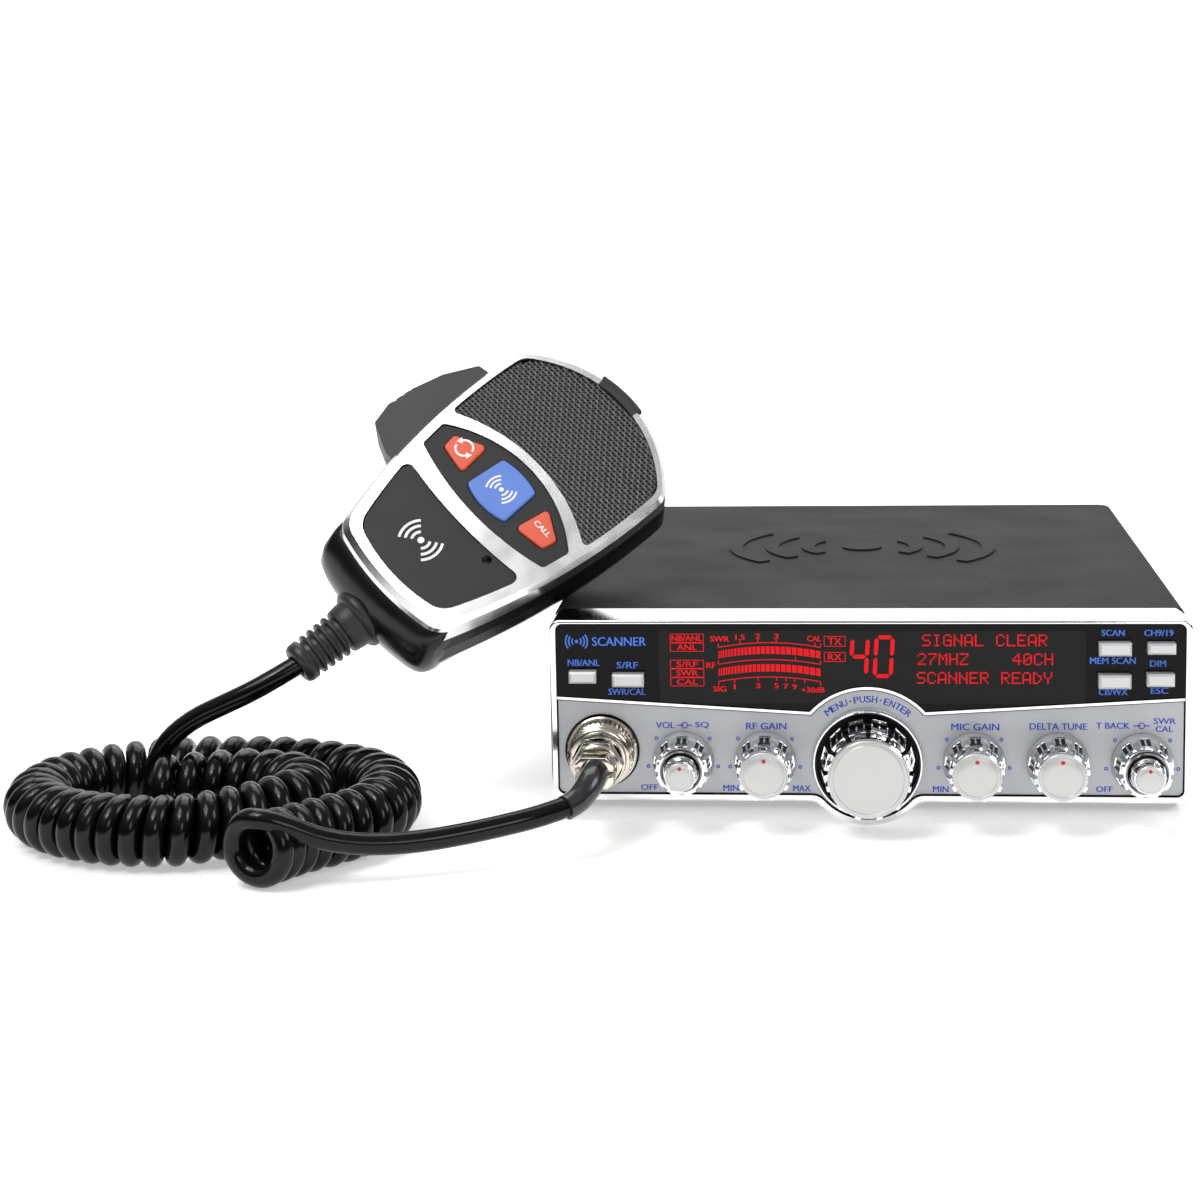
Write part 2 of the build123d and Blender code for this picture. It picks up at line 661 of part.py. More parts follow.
def blue_button(grow):
    top = ThreePointArc((-7.6, 8.3), (0, 9.3), (7.6, 8.3))
    foot = ThreePointArc((8.7, -4.9), (0, -6.6), (-8.7, -4.9))
    face = make_face([top, Line((7.6, 8.3), (8.7, -4.9)), foot, Line((-8.7, -4.9), (-7.6, 8.3))])
    face = fillet(face.vertices(), 1.3)
    return offset(face, amount=grow) if grow else face


def mic_button_faces(grow):
    return [red_button(-1, grow), blue_button(grow), red_button(1, grow)]


def make_button_panel():
    panel = Pos(0, 0, -3.4) * extrude(button_area(0.25), 2.8)
    for face in mic_button_faces(0.3):
        panel -= Pos(0, 0, -6) * extrude(face, 8)
    return on_mic(panel)


def make_mic_button(face, spot):
    button = Pos(0, 0, -4.2) * extrude(face, 4.5)
    top = button.faces().sort_by(Axis.Z)[-1].edges()
    button = fillet(top, 0.6)
    button += Pos(spot[0], spot[1], -5.9) * Box(3.0, 3.0, 4.4)
    return on_mic(button)


def make_lower_panel():
    panel = Pos(0, 0, -3.4) * extrude(lower_area(0.25), 2.9)
    panel -= Pos(*CAPSULE, -2) * Cylinder(1.5, 6)
    return on_mic(panel)


def make_mic_grille():
    grille = Pos(0, 0, -1.9) * extrude(grille_area(0.15), 1.3)
    return on_mic(grille)


def make_mic_speaker():
    speaker = Pos(0, 28, -8.4) * Cylinder(16.0, 3.6) + Pos(0, 28, -13.0) * Cylinder(9.0, 6.0)
    return on_mic(speaker)


def make_capsule():
    return on_mic(Pos(*CAPSULE, -6.6) * Cylinder(4.6, 5.0))


def make_hang_button():
    z = -MIC_DEPTH - 0.05
    button = Pos(0, HANG_Y, z - 2.75) * Cylinder(HANG_NECK_R, 5.5)
    flange = Pos(0, HANG_Y, z - 6.75) * Cylinder(7.0, 2.5)
    flange = chamfer(flange.edges().group_by(Axis.Z)[0], 0.7)
    return on_mic(button + flange + Pos(0, HANG_Y, z + 1.5) * Cylinder(2.3, 6.0))


def make_mic_screws():
    screws = []
    for x, y in MIC_SCREWS:
        screw = Pos(x, y, -MIC_DEPTH - 0.7) * Cylinder(2.7, 1.3)
        screws.append(screw + Pos(x, y, -MIC_DEPTH + 3.5) * Cylinder(1.5, 8.0))
    return on_mic(group(screws))


def make_cord_boot():
    """Ribbed strain relief at the microphone's cord end."""
    start = -52.0
    length = 22.6
    boot = Pos(0, 0, length / 2) * Cone(6.6, 4.6, length)
    boot += Pos(0, 0, 1.6) * Cylinder(8.6, 3.2)
    boot += Pos(0, 0, -3.0) * Cylinder(6.0, 8.0)
    for n in range(5):
        z = 8.2 + 3.1 * n
        boot += Pos(0, 0, z) * Cylinder(6.9 - 0.25 * n, 1.7)
    boot += Pos(0, 0, length - 0.8) * Cylinder(5.5, 1.6)
    boot = Pos(BOOT_X, start, BOOT_Z) * Rot(90, 0, 0) * boot
    return on_mic(boot)


# ---- hanger for the microphone ------------------------------------------------------
def make_hanger():
    z = -MIC_DEPTH - 4.0
    plate = Pos(2.4, 0, 0) * Box(30.0, 26.0, HANGER_T)
    slot = Cylinder(HANG_NECK_R + 0.35, 6) + Pos(0, 10, 0) * Box(2 * HANG_NECK_R + 0.7, 20, 6)
    plate = on_mic(Pos(0, HANG_Y, z) * Rot(0, 0, HANG_TURN) * (plate - slot))
    outline = make_face(Polyline(
        (-57.2, 65.6), (-43.5, 84.0), (-12.0, 52.0), (2.0, 49.0), (2.0, 34.0), (-26.0, 34.0),
        (-36.0, 46.0), close=True))
    flange = extrude(Plane.YZ.offset(-WIDTH / 2 - 0.05) * outline, -HANGER_T)
    for y, height in HANGER_SCREWS:
        flange -= rod_x(y, height, -99, -85, 1.7)
    keep = on_mic(Pos(0, 0, z + HANGER_T / 2 - 50.0) * Box(300, 300, 100.0))
    return plate + (flange & keep)


def make_hanger_screws():
    screws = []
    outer = -WIDTH / 2 - 0.05 - HANGER_T
    for y, z in HANGER_SCREWS:
        screw = rod_x(y, z, outer - 2.0, outer, 3.3)
        screws.append(screw + rod_x(y, z, outer, -85.0, 1.45))
    return group(screws)


# ---- build and write every piece ----------------------------------------------------
save(make_top_cover(), "top_cover")
save(make_bottom_cover(), "bottom_cover")
save(make_bezel(), "front_bezel")
save(make_window(), "display_window")
save(make_divider(), "divider_trim")
save(make_face_panel(), "face_panel")
save(make_carrier(), "panel_carrier")
save(make_display(), "display_module")
save(make_front_board(), "front_board")
save(make_main_board(), "main_board")
save(make_chassis(), "chassis_frame")
save(make_rear_panel(), "rear_heat_sink")
save(make_speaker(), "speaker")
save(make_antenna_socket(), "antenna_socket")
save(make_power_socket(), "power_socket")
save(make_jacks(), "speaker_jacks")
save(make_case_screws(), "case_screws")
save(make_side_inserts(), "side_inserts")
save(make_knob_ring(), "knob_ring")
save(group([make_pot(x, 6.5, 4.4) for x in knob_places()]), "potentiometers")
save(make_pot(0, 9.0, 5.0), "channel_encoder")
save(make_mic_socket(), "mic_socket")
save(make_mic_plug(), "mic_plug")
save(make_plug_sleeve(), "plug_sleeve")
save(make_hanger(), "mic_hanger")
save(make_hanger_screws(), "hanger_screws")
save(tube(TAIL_POINTS, CABLE_D, "cord_tail"), "cord_tail")
save(tube(CURL_POINTS, CURL_D, "curly_cord"), "curly_cord")
save(tube(LEAD_POINTS, CABLE_D, "cord_lead"), "cord_lead")

for name, x in SMALL_KNOB_X.items():
    save(make_single_knob(x), name + "_knob")
for name, (inner, x) in DUAL_KNOB_X.items():
    save(make_dual_outer(x), name + "_knob")
    save(make_dual_inner(x), inner + "_knob")
save(make_channel_knob(), "channel_knob")
save(make_channel_shaft(), "channel_shaft")
for name, (x, z, width, height) in BUTTONS.items():
    save(make_button(x, z, width, height), name)

save(make_mic_shell(), "mic_back_shell")
save(make_mic_frame(), "mic_front_frame")
save(make_mic_grille(), "mic_grille")
save(make_button_panel(), "mic_button_panel")
save(make_lower_panel(), "mic_lower_panel")
save(make_mic_board(), "mic_board")
save(make_mic_speaker(), "mic_speaker")
save(make_capsule(), "mic_capsule")
save(make_hang_button(), "hang_button")
save(make_mic_screws(), "mic_screws")
save(make_cord_boot(), "cord_boot")
save(make_ptt(), "talk_lever")
save(make_ptt_pin(), "talk_lever_pin")
for face, (x, y, name) in zip(mic_button_faces(0), MIC_BUTTON_SPOTS):
    save(make_mic_button(face, (x, y)), "mic_" + name + "_button")
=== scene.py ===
from math import atan2, cos, hypot, pi, radians, sin
import random
import bmesh
import bpy
from mathutils import Matrix, Vector


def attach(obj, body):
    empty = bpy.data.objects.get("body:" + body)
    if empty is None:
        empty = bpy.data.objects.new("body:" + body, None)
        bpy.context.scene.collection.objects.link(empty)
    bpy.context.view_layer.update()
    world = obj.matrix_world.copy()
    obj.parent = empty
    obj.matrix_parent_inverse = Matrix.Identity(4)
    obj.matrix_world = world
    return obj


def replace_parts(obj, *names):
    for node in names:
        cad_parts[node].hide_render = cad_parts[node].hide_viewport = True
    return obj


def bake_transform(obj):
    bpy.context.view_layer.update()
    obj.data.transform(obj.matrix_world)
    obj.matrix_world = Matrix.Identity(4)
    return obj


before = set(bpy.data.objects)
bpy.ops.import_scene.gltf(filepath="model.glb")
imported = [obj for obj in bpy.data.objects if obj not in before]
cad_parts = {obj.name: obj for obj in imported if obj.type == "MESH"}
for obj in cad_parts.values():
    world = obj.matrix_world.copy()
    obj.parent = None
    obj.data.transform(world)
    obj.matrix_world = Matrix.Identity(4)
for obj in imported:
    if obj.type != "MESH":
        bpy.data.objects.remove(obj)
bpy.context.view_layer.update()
MM = 0.001

# ---- places, in millimetres in the row frame ----
PANEL_Y = -106.4            # front of the face panel and the window
KNOB_Z = 18.9
SOCKET_X, SOCKET_Z = -77.0, 22.0
MIC_ORIGIN = Vector((-109.4, -80.1, 94.4))
MIC_ACROSS = Vector((0.6839, -0.3910, -0.6159))
MIC_OUT = Vector((0.0816, -0.7979, 0.5972))
INK = (0.02, 0.06)          # heights of printed lines over the window
LEGEND_INK = (0.01, 0.05)   # heights of printed lines over the panel
KEY_INK = (0.28, 0.36)      # heights of the marks on the microphone's buttons


# ---- geometry helpers ----
def axes(origin, x_axis, z_axis):
    """Matrix in metres whose local units are millimetres."""
    z = z_axis.normalized()
    x = (x_axis - z * x_axis.dot(z)).normalized()
    y = z.cross(x)
    turn = Matrix((x, y, z)).transposed().to_4x4()
    return Matrix.Translation(origin * MM) @ turn @ Matrix.Scale(MM, 4)


MIC = axes(MIC_ORIGIN, MIC_ACROSS, MIC_OUT)


def front_at(x, z, y=PANEL_Y):
    """Local x to the right, local y up, local z towards the user, on a plane of the front."""
    return axes(Vector((x, y, z)), Vector((1, 0, 0)), Vector((0, -1, 0)))


def new_object(name, data):
    obj = bpy.data.objects.new(name, data)
    bpy.context.collection.objects.link(obj)
    return obj


def add_mesh(name, verts, faces, material, body, place=Matrix.Scale(MM, 4), angle=35.0,
             marks=None):
    """New piece on a body; material is one finish or, with marks, a list of them."""
    finishes = material if isinstance(material, list) else [material]
    mesh = bpy.data.meshes.new(name)
    mesh.from_pydata([place @ Vector(v) for v in verts], [], faces)
    for finish in finishes:
        mesh.materials.append(finish)
    if marks:
        mesh.polygons.foreach_set("material_index", marks)
    bm = bmesh.new()
    bm.from_mesh(mesh)
    bmesh.ops.remove_doubles(bm, verts=bm.verts, dist=1e-7)
    bmesh.ops.recalc_face_normals(bm, faces=bm.faces)
    bm.to_mesh(mesh)
    bm.free()
    mesh.polygons.foreach_set("use_smooth", [True] * len(mesh.polygons))
    mesh.set_sharp_from_angle(angle=radians(angle))
    obj = new_object(name, mesh)
    if body:
        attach(obj, body)
    return obj


class Solid:
    """Gathers vertices and faces in local millimetres, each face with a finish."""

    def __init__(self, finish):
        self.verts = []
        self.faces = []
        self.marks = []
        self.finishes = [finish]
        self.mark = 0

    def use(self, finish):
        if finish not in self.finishes:
            self.finishes.append(finish)
        self.mark = self.finishes.index(finish)

    def add(self, verts, faces, place=None):
        start = len(self.verts)
        self.verts += [place @ Vector(v) if place else Vector(v) for v in verts]
        self.faces += [[start + i for i in face] for face in faces]
        self.marks += [self.mark] * len(faces)

    def lathe(self, profile, steps=64, place=None):
        """Turn (radius, z) points about local z; ends at radius 0 close to a point."""
        verts, faces, rings = [], [], []
        for radius, z in profile:
            if radius < 1e-6:
                rings.append([len(verts)] * steps)
                verts.append((0, 0, z))
                continue
            rings.append(list(range(len(verts), len(verts) + steps)))
            for n in range(steps):
                a = 2 * pi * n / steps
                verts.append((radius * cos(a), radius * sin(a), z))
        for low, high in zip(rings, rings[1:]):
            for n in range(steps):
                m = (n + 1) % steps
                face = []
                for i in (low[n], low[m], high[m], high[n]):
                    if i not in face:
                        face.append(i)
                if len(face) > 2:
                    faces.append(face)
        self.add(verts, faces, place)

    def prism(self, outline, z0, z1, edge=0.0, place=None):
        """Extrude an outline, its upper edge rounded off by edge."""
        levels = [(0.0, z0), (0.0, z1 - edge)]
        if edge:
            levels += [(edge * 0.3, z1 - edge * 0.3), (edge, z1)]
        verts, faces = [], []
        count = len(outline)
        for inset, z in levels:
            verts += [(x, y, z) for x, y in shrink(outline, inset)]
        for k in range(len(levels) - 1):
            for n in range(count):
                m = (n + 1) % count
                a, b = k * count, (k + 1) * count
                faces.append([a + n, a + m, b + m, b + n])
        faces.append(list(range(count))[::-1])
        faces.append([(len(levels) - 1) * count + n for n in range(count)])
        self.add(verts, faces, place)

    def box(self, x0, x1, y0, y1, z0, z1, edge=0.0, place=None):
        self.prism([(x0, y0), (x1, y0), (x1, y1), (x0, y1)], z0, z1, edge, place)

    def strip(self, points, width, z0, z1, place=None):
        """Flat ribbon of the given width along an open line of (x, y) points."""
        left, right = [], []
        count = len(points)
        for n, p in enumerate(points):
            ahead = Vector(points[min(n + 1, count - 1)]) - Vector(points[max(n - 1, 0)])
            side = Vector((-ahead.y, ahead.x)).normalized() * width / 2
            left.append(tuple(Vector(p) + side))
            right.append(tuple(Vector(p) - side))
        for n in range(count - 1):
            self.prism([left[n], right[n], right[n + 1], left[n + 1]], z0, z1, 0, place)

    def tube(self, points, radius, sides, place=None):
        verts, faces = tube_mesh([Vector(p) for p in points], radius, sides)
        self.add(verts, faces, place)

    def text(self, words, x, y, width, height, z, place=None):
        """Lettering fitted to a box centred on x, y; two copies side by side make it bold."""
        thick, bold = 0.05, 0.06
        curve = bpy.data.curves.new("lettering", "FONT")
        curve.body = words
        curve.resolution_u = 3
        obj = new_object("lettering", curve)
        mesh = bpy.data.meshes.new_from_object(obj)
        xs = [v.co.x for v in mesh.vertices]
        ys = [v.co.y for v in mesh.vertices]
        wide, tall = width / (max(xs) - min(xs)), height / (max(ys) - min(ys))
        left, low = x - width / 2, y - height / 2
        flat = [((v.co.x - min(xs)) * wide, (v.co.y - min(ys)) * tall) for v in mesh.vertices]
        faces = [list(p.vertices) for p in mesh.polygons]
        count = len(flat)
        rims = set()
        for face in faces:
            rims.update(zip(face, face[1:] + face[:1]))
        sides = [[j, i, i + count, j + count] for i, j in sorted(rims) if (j, i) not in rims]
        for shift, top in ((-bold, z), (bold, z + 0.006)):
            verts = [(a + left + shift, b + low, top) for a, b in flat]
            verts += [(a, b, z - thick) for a, b, _ in verts]
            self.add(verts, faces + sides, place)
        bpy.data.objects.remove(obj)
        bpy.data.meshes.remove(mesh)

    def build(self, name, body, place=Matrix.Scale(MM, 4), angle=35.0):
        return add_mesh(name, self.verts, self.faces, self.finishes, body, place, angle,
                        self.marks)


def shrink(outline, inset):
    """Move each side of a counter-clockwise outline inwards."""
    if not inset:
        return list(outline)
    moved = []
    count = len(outline)
    for n in range(count):
        before = Vector(outline[n - 1])
        here = Vector(outline[n])
        after = Vector(outline[(n + 1) % count])
        a = (here - before).normalized()
        b = (after - here).normalized()
        normal = Vector((-a.y - b.y, a.x + b.x))
        if normal.length < 1e-6:
            normal = Vector((-a.y, a.x))
        normal.normalize()
        lean = max(0.35, normal.dot(Vector((-a.y, a.x))))
        moved.append(tuple(here + normal * inset / lean))
    return moved


def arc(start, middle, end, steps):
    """Points on the circle through three points, from start up to but not at end."""
    (ax, ay), (bx, by), (cx, cy) = start, middle, end
    d = 2 * (ax * (by - cy) + bx * (cy - ay) + cx * (ay - by))
    sa, sb, sc = ax * ax + ay * ay, bx * bx + by * by, cx * cx + cy * cy
    ox = (sa * (by - cy) + sb * (cy - ay) + sc * (ay - by)) / d
    oy = (sa * (cx - bx) + sb * (ax - cx) + sc * (bx - ax)) / d
    radius = hypot(ax - ox, ay - oy)
    a0 = atan2(ay - oy, ax - ox)
    a1 = atan2(by - oy, bx - ox)
    a2 = atan2(cy - oy, cx - ox)
    ccw = (a1 - a0) % (2 * pi) < (a2 - a0) % (2 * pi)
    sweep = (a2 - a0) % (2 * pi) if ccw else -((a0 - a2) % (2 * pi))
    points = []
    for n in range(steps):
        a = a0 + sweep * n / steps
        points.append((ox + radius * cos(a), oy + radius * sin(a)))
    return points


def bend(start, corner, end, steps):
    """Points of a curve from start to end that leans towards the corner."""
    shares = [k / steps for k in range(steps + 1)]
    return [tuple(start * (1 - t) ** 2 + corner * 2 * t * (1 - t) + end * t * t) for t in shares]


def circle(x, y, radius, steps, closed=False):
    """Points round a circle; when closed, the last one is the first again."""
    turns = [2 * pi * n / steps for n in range(steps + closed)]
    return [(x + radius * cos(a), y + radius * sin(a)) for a in turns]


def soften(points, corners, reach):
    """Round the given corners of a closed line with curves that start reach away."""
    points = [Vector(p) for p in points]
    corners = [Vector(c) for c in corners]
    result = []
    count = len(points)
    for n, p in enumerate(points):
        near = [c for c in corners if (p - c).length < reach]
        if not near:
            result.append(tuple(p))
            continue
        corner = near[0]
        before = points[n - 1]
        if (before - corner).length < reach:
            continue
        m = n
        while (points[m % count] - corner).length < reach:
            m += 1
        start = corner + (before - corner).normalized() * reach
        end = corner + (points[m % count] - corner).normalized() * reach
        result += bend(start, corner, end, 8)
    return result


def rounded(corners, radius):
    """Polygon with each corner rounded."""
    result = []
    count = len(corners)
    for n in range(count):
        here = Vector(corners[n])
        to_before = Vector(corners[n - 1]) - here
        to_after = Vector(corners[(n + 1) % count]) - here
        reach = min(radius, to_before.length * 0.48, to_after.length * 0.48)
        start = here + to_before.normalized() * reach
        result += bend(start, here, here + to_after.normalized() * reach, 3)
    return result


def smooth_line(name, points, resolution):
    """Points read from a NURBS spline of order 3 on the given control points."""
    curve = bpy.data.curves.new(name, "CURVE")
    curve.dimensions = "3D"
    spline = curve.splines.new("NURBS")
    spline.points.add(len(points) - 1)
    for control, p in zip(spline.points, points):
        control.co = (*p, 1.0)
    spline.order_u = 3
    spline.use_endpoint_u = True
    spline.resolution_u = resolution
    obj = new_object(name, curve)
    mesh = bpy.data.meshes.new_from_object(obj)
    line = []
    for v in mesh.vertices:
        if not line or (v.co - line[-1]).length > 0.05:
            line.append(v.co.copy())
    bpy.data.objects.remove(obj)
    bpy.data.meshes.remove(mesh)
    return line


def tube_mesh(points, radius, sides):
    """Verts and faces of a closed round tube along points."""
    count = len(points)
    tangents = []
    for n in range(count):
        ahead = points[min(n + 1, count - 1)]
        behind = points[max(n - 1, 0)]
        tangents.append((ahead - behind).normalized())
    up = Vector((0, 0, 1))
    if abs(tangents[0].dot(up)) > 0.9:
        up = Vector((1, 0, 0))
    normal = (up - tangents[0] * up.dot(tangents[0])).normalized()
    verts, faces = [], []
    for p, t in zip(points, tangents):
        normal = (normal - t * normal.dot(t)).normalized()
        side = t.cross(normal)
        for k in range(sides):
            a = 2 * pi * k / sides
            verts.append(p + (normal * cos(a) + side * sin(a)) * radius)
    for n in range(count - 1):
        for k in range(sides):
            m = (k + 1) % sides
            a, b = n * sides, (n + 1) * sides
            faces.append([a + k, a + m, b + m, b + k])
    faces.append(list(range(sides))[::-1])
    faces.append([(count - 1) * sides + k for k in range(sides)])
    return verts, faces


# ---- materials ----
def surface(name, color, rough, metal=0.0, mottle=0.06, mottle_mm=12.0, grain=0.0,
            grain_mm=0.5, rough_spread=0.06, coat=0.0, specular=0.5, stretch=(1, 1, 1)):
    """A procedural finish: uneven colour, uneven gloss and a fine grain."""
    mat = bpy.data.materials.new(name)
    mat.use_nodes = True
    nodes, links = mat.node_tree.nodes, mat.node_tree.links
    shader = nodes["Principled BSDF"]
    shader.inputs["Metallic"].default_value = metal
    shader.inputs["Coat Weight"].default_value = coat
    shader.inputs["Coat Roughness"].default_value = 0.05
    shader.inputs["Specular IOR Level"].default_value = specular
    coords = nodes.new("ShaderNodeTexCoord")
    scale = nodes.new("ShaderNodeMapping")
    scale.inputs["Scale"].default_value = stretch
    links.new(coords.outputs["Object"], scale.inputs["Vector"])

    def noise(size_mm, detail):
        node = nodes.new("ShaderNodeTexNoise")
        node.inputs["Scale"].default_value = 1000.0 / size_mm
        node.inputs["Detail"].default_value = detail
        links.new(scale.outputs["Vector"], node.inputs["Vector"])
        return node

    patches = noise(mottle_mm, 4.0)
    ramp = nodes.new("ShaderNodeValToRGB")
    dark, light = ramp.color_ramp.elements
    dark.position, light.position = 0.3, 0.7
    dark.color = [c * (1 - mottle) for c in color] + [1]
    light.color = [min(1, c * (1 + mottle)) for c in color] + [1]
    links.new(patches.outputs["Fac"], ramp.inputs["Fac"])
    links.new(ramp.outputs["Color"], shader.inputs["Base Color"])
    spread = nodes.new("ShaderNodeMapRange")
    spread.inputs["From Min"].default_value = 0.3
    spread.inputs["From Max"].default_value = 0.7
    spread.inputs["To Min"].default_value = max(0.02, rough - rough_spread)
    spread.inputs["To Max"].default_value = rough + rough_spread
    links.new(patches.outputs["Fac"], spread.inputs["Value"])
    links.new(spread.outputs["Result"], shader.inputs["Roughness"])
    if grain:
        fine = noise(grain_mm, 2.0)
        bump = nodes.new("ShaderNodeBump")
        bump.inputs["Strength"].default_value = grain
        bump.inputs["Distance"].default_value = grain_mm * MM * 0.4
        links.new(fine.outputs["Fac"], bump.inputs["Height"])
        links.new(bump.outputs["Normal"], shader.inputs["Normal"])
    return mat


def glow(mat, color, strength):
    """Let a finish give light of its own."""
    shader = mat.node_tree.nodes["Principled BSDF"]
    shader.inputs["Emission Color"].default_value = (*color, 1)
    shader.inputs["Emission Strength"].default_value = strength


CASE = surface("case_paint", (0.020, 0.0185, 0.020), 0.72, mottle=0.05, mottle_mm=30, grain=0.6,
               grain_mm=0.9, specular=0.16)
CHROME = surface("bright_chrome", (0.84, 0.85, 0.86), 0.10, metal=1.0, mottle=0.03, grain=0.008,
                 grain_mm=3.0, rough_spread=0.03)
GLOSS = surface("window_gloss", (0.0035, 0.0035, 0.004), 0.12, mottle=0.2, specular=0.12,
                rough_spread=0.03)
GLASS_ZONE = surface("display_zone", (0.009, 0.0095, 0.0085), 0.2, mottle=0.12, specular=0.14,
                     rough_spread=0.03)
PANEL = surface("panel_silver", (0.47, 0.48, 0.50), 0.42, metal=0.45, mottle=0.04, mottle_mm=25,
                grain=0.12, grain_mm=0.35)
LEGEND = surface("legend_blue", (0.012, 0.055, 0.48), 0.6, mottle=0.10, mottle_mm=1.0)
LEGEND_LIT = surface("legend_light_blue", (0.06, 0.19, 0.75), 0.6, mottle=0.10, mottle_mm=1.0)
RED = surface("display_red", (0.60, 0.008, 0.014), 0.6, mottle=0.1, mottle_mm=1.5, specular=0.1)
glow(RED, (0.60, 0.008, 0.014), 0.42)
RED_DOT = surface("dot_red", (0.55, 0.01, 0.015), 0.35, mottle=0.08, mottle_mm=0.6)
BLACK = surface("black_plastic", (0.012, 0.012, 0.013), 0.45, mottle=0.12, grain=0.2, grain_mm=0.4)
NICKEL = surface("nickel_plate", (0.72, 0.67, 0.58), 0.20, metal=1.0, mottle=0.08, mottle_mm=5,
                 grain=0.08, grain_mm=0.8, rough_spread=0.08)
SATIN = surface("satin_cap", (0.60, 0.60, 0.59), 0.40, metal=0.5, mottle=0.03, grain=0.10,
                grain_mm=0.25)
SILVER = surface("button_silver", (0.62, 0.62, 0.63), 0.38, metal=0.5, mottle=0.04, grain=0.10,
                 grain_mm=0.3)
CORD = surface("cord_rubber", (0.003, 0.003, 0.0035), 0.17, mottle=0.15, mottle_mm=9, grain=0.06,
               grain_mm=0.9, specular=0.26, rough_spread=0.05)
BOOT = surface("boot_rubber", (0.016, 0.016, 0.017), 0.45, mottle=0.12, grain=0.15, grain_mm=0.4)
SHELL = surface("mic_shell_black", (0.006, 0.006, 0.0065), 0.24, mottle=0.12, specular=0.35,
                rough_spread=0.05, grain=0.05, grain_mm=0.6)
MIC_CHROME = surface("mic_chrome", (0.86, 0.86, 0.87), 0.20, metal=1.0, mottle=0.03,
                     rough_spread=0.04)
MIC_PANEL = surface("mic_panel_grey", (0.020, 0.020, 0.0215), 0.45, specular=0.3, mottle=0.08,
                    grain=0.12, grain_mm=0.3)
LEVER = surface("lever_grey", (0.030, 0.030, 0.032), 0.48, mottle=0.07, grain=0.22, grain_mm=0.35)
SLEEVE = surface("sleeve_shrink", (0.016, 0.017, 0.020), 0.22, mottle=0.25, mottle_mm=5,
                 coat=0.2, grain=0.1, grain_mm=1.5, rough_spread=0.05)
# Both wire finishes are the same woven wire: the lighter one is painted highlight on the wire
# crowns, the darker one is painted shade.
WIRE_PAINTED_HIGHLIGHT = surface("woven_wire_painted_highlight", (0.30, 0.30, 0.305), 0.34, metal=0.6, mottle=0.2, mottle_mm=1.2)
WIRE_PAINTED_SHADE = surface("woven_wire_painted_shade", (0.14, 0.14, 0.143), 0.36, metal=0.5, mottle=0.2, mottle_mm=1.2)
KEY_RED = surface("key_red", (0.72, 0.10, 0.045), 0.38, mottle=0.08, grain=0.12, grain_mm=0.35)
KEY_BLUE = surface("key_blue", (0.10, 0.21, 0.62), 0.38, mottle=0.08, grain=0.12, grain_mm=0.35)
PRINT_WHITE = surface("print_white", (0.85, 0.85, 0.84), 0.5, mottle=0.04, mottle_mm=1.0)
STEEL = surface("zinc_steel", (0.50, 0.50, 0.50), 0.32, metal=0.9, mottle=0.08, mottle_mm=6,
                grain=0.15, grain_mm=0.5, stretch=(1, 1, 6))
HANGER = surface("hanger_black_steel", (0.03, 0.03, 0.032), 0.35, metal=0.3, mottle=0.1, grain=0.2,
                 grain_mm=0.5)
SCREW = surface("screw_steel", (0.22, 0.22, 0.23), 0.28, metal=0.9, mottle=0.1, grain=0.1,
                grain_mm=0.4)
SINK = surface("heat_sink_black", (0.028, 0.028, 0.030), 0.42, metal=0.5, mottle=0.1, grain=0.2,
               grain_mm=0.5)
BOARD = surface("board_green", (0.015, 0.10, 0.04), 0.4, mottle=0.25, mottle_mm=2.5)
PAPER = surface("speaker_paper", (0.03, 0.03, 0.03), 0.8, mottle=0.2, grain=0.4, grain_mm=0.5)

NODE_FINISH = (
    (CASE, "top_cover bottom_cover"), (CHROME, "front_bezel divider_trim"),
    (GLOSS, "display_window"), (PANEL, "face_panel"),
    (BLACK, "panel_carrier display_module power_socket speaker_jacks"),
    (BOARD, "front_board main_board mic_board"),
    (STEEL, "chassis_frame side_inserts potentiometers channel_encoder "
            "mic_capsule hang_button talk_lever_pin channel_shaft"),
    (SINK, "rear_heat_sink"), (PAPER, "speaker mic_speaker"), (NICKEL, "antenna_socket"),
    (SCREW, "case_screws hanger_screws mic_screws"), (HANGER, "mic_hanger"),
    (SHELL, "mic_back_shell"), (MIC_CHROME, "mic_front_frame"),
    (MIC_PANEL, "mic_button_panel mic_lower_panel"), (BOOT, "cord_boot"), (LEVER, "talk_lever"),
    (KEY_RED, "mic_left_button mic_right_button"), (KEY_BLUE, "mic_middle_button"),
    (SILVER, "noise_button meter_button scan_button priority_button band_button dim_button"),
)
SOFT_EDGES = {
    "top_cover": 0.5, "bottom_cover": 0.4, "front_bezel": 0.25, "divider_trim": 0.35,
    "mic_front_frame": 0.6, "mic_button_panel": 0.3, "mic_lower_panel": 0.3, "talk_lever": 0.8,
    "mic_hanger": 0.3, "mic_left_button": 0.3, "mic_right_button": 0.3, "mic_middle_button": 0.3,
    "rear_heat_sink": 0.25, "power_socket": 0.3, "face_panel": 0.15, "display_window": 0.15,
}


def finish_cad_nodes():
    """Give each CAD node its finish and some of them soft edges."""
    for finish, names in NODE_FINISH:
        for name in names.split():
            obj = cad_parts[name]
            obj.data.materials.clear()
            obj.data.materials.append(finish)
            if name in SOFT_EDGES:
                bevel = obj.modifiers.new("soft_edges", "BEVEL")
                bevel.width = SOFT_EDGES[name] * MM
                bevel.segments = 3
                bevel.limit_method = "ANGLE"
                bevel.angle_limit = radians(40)


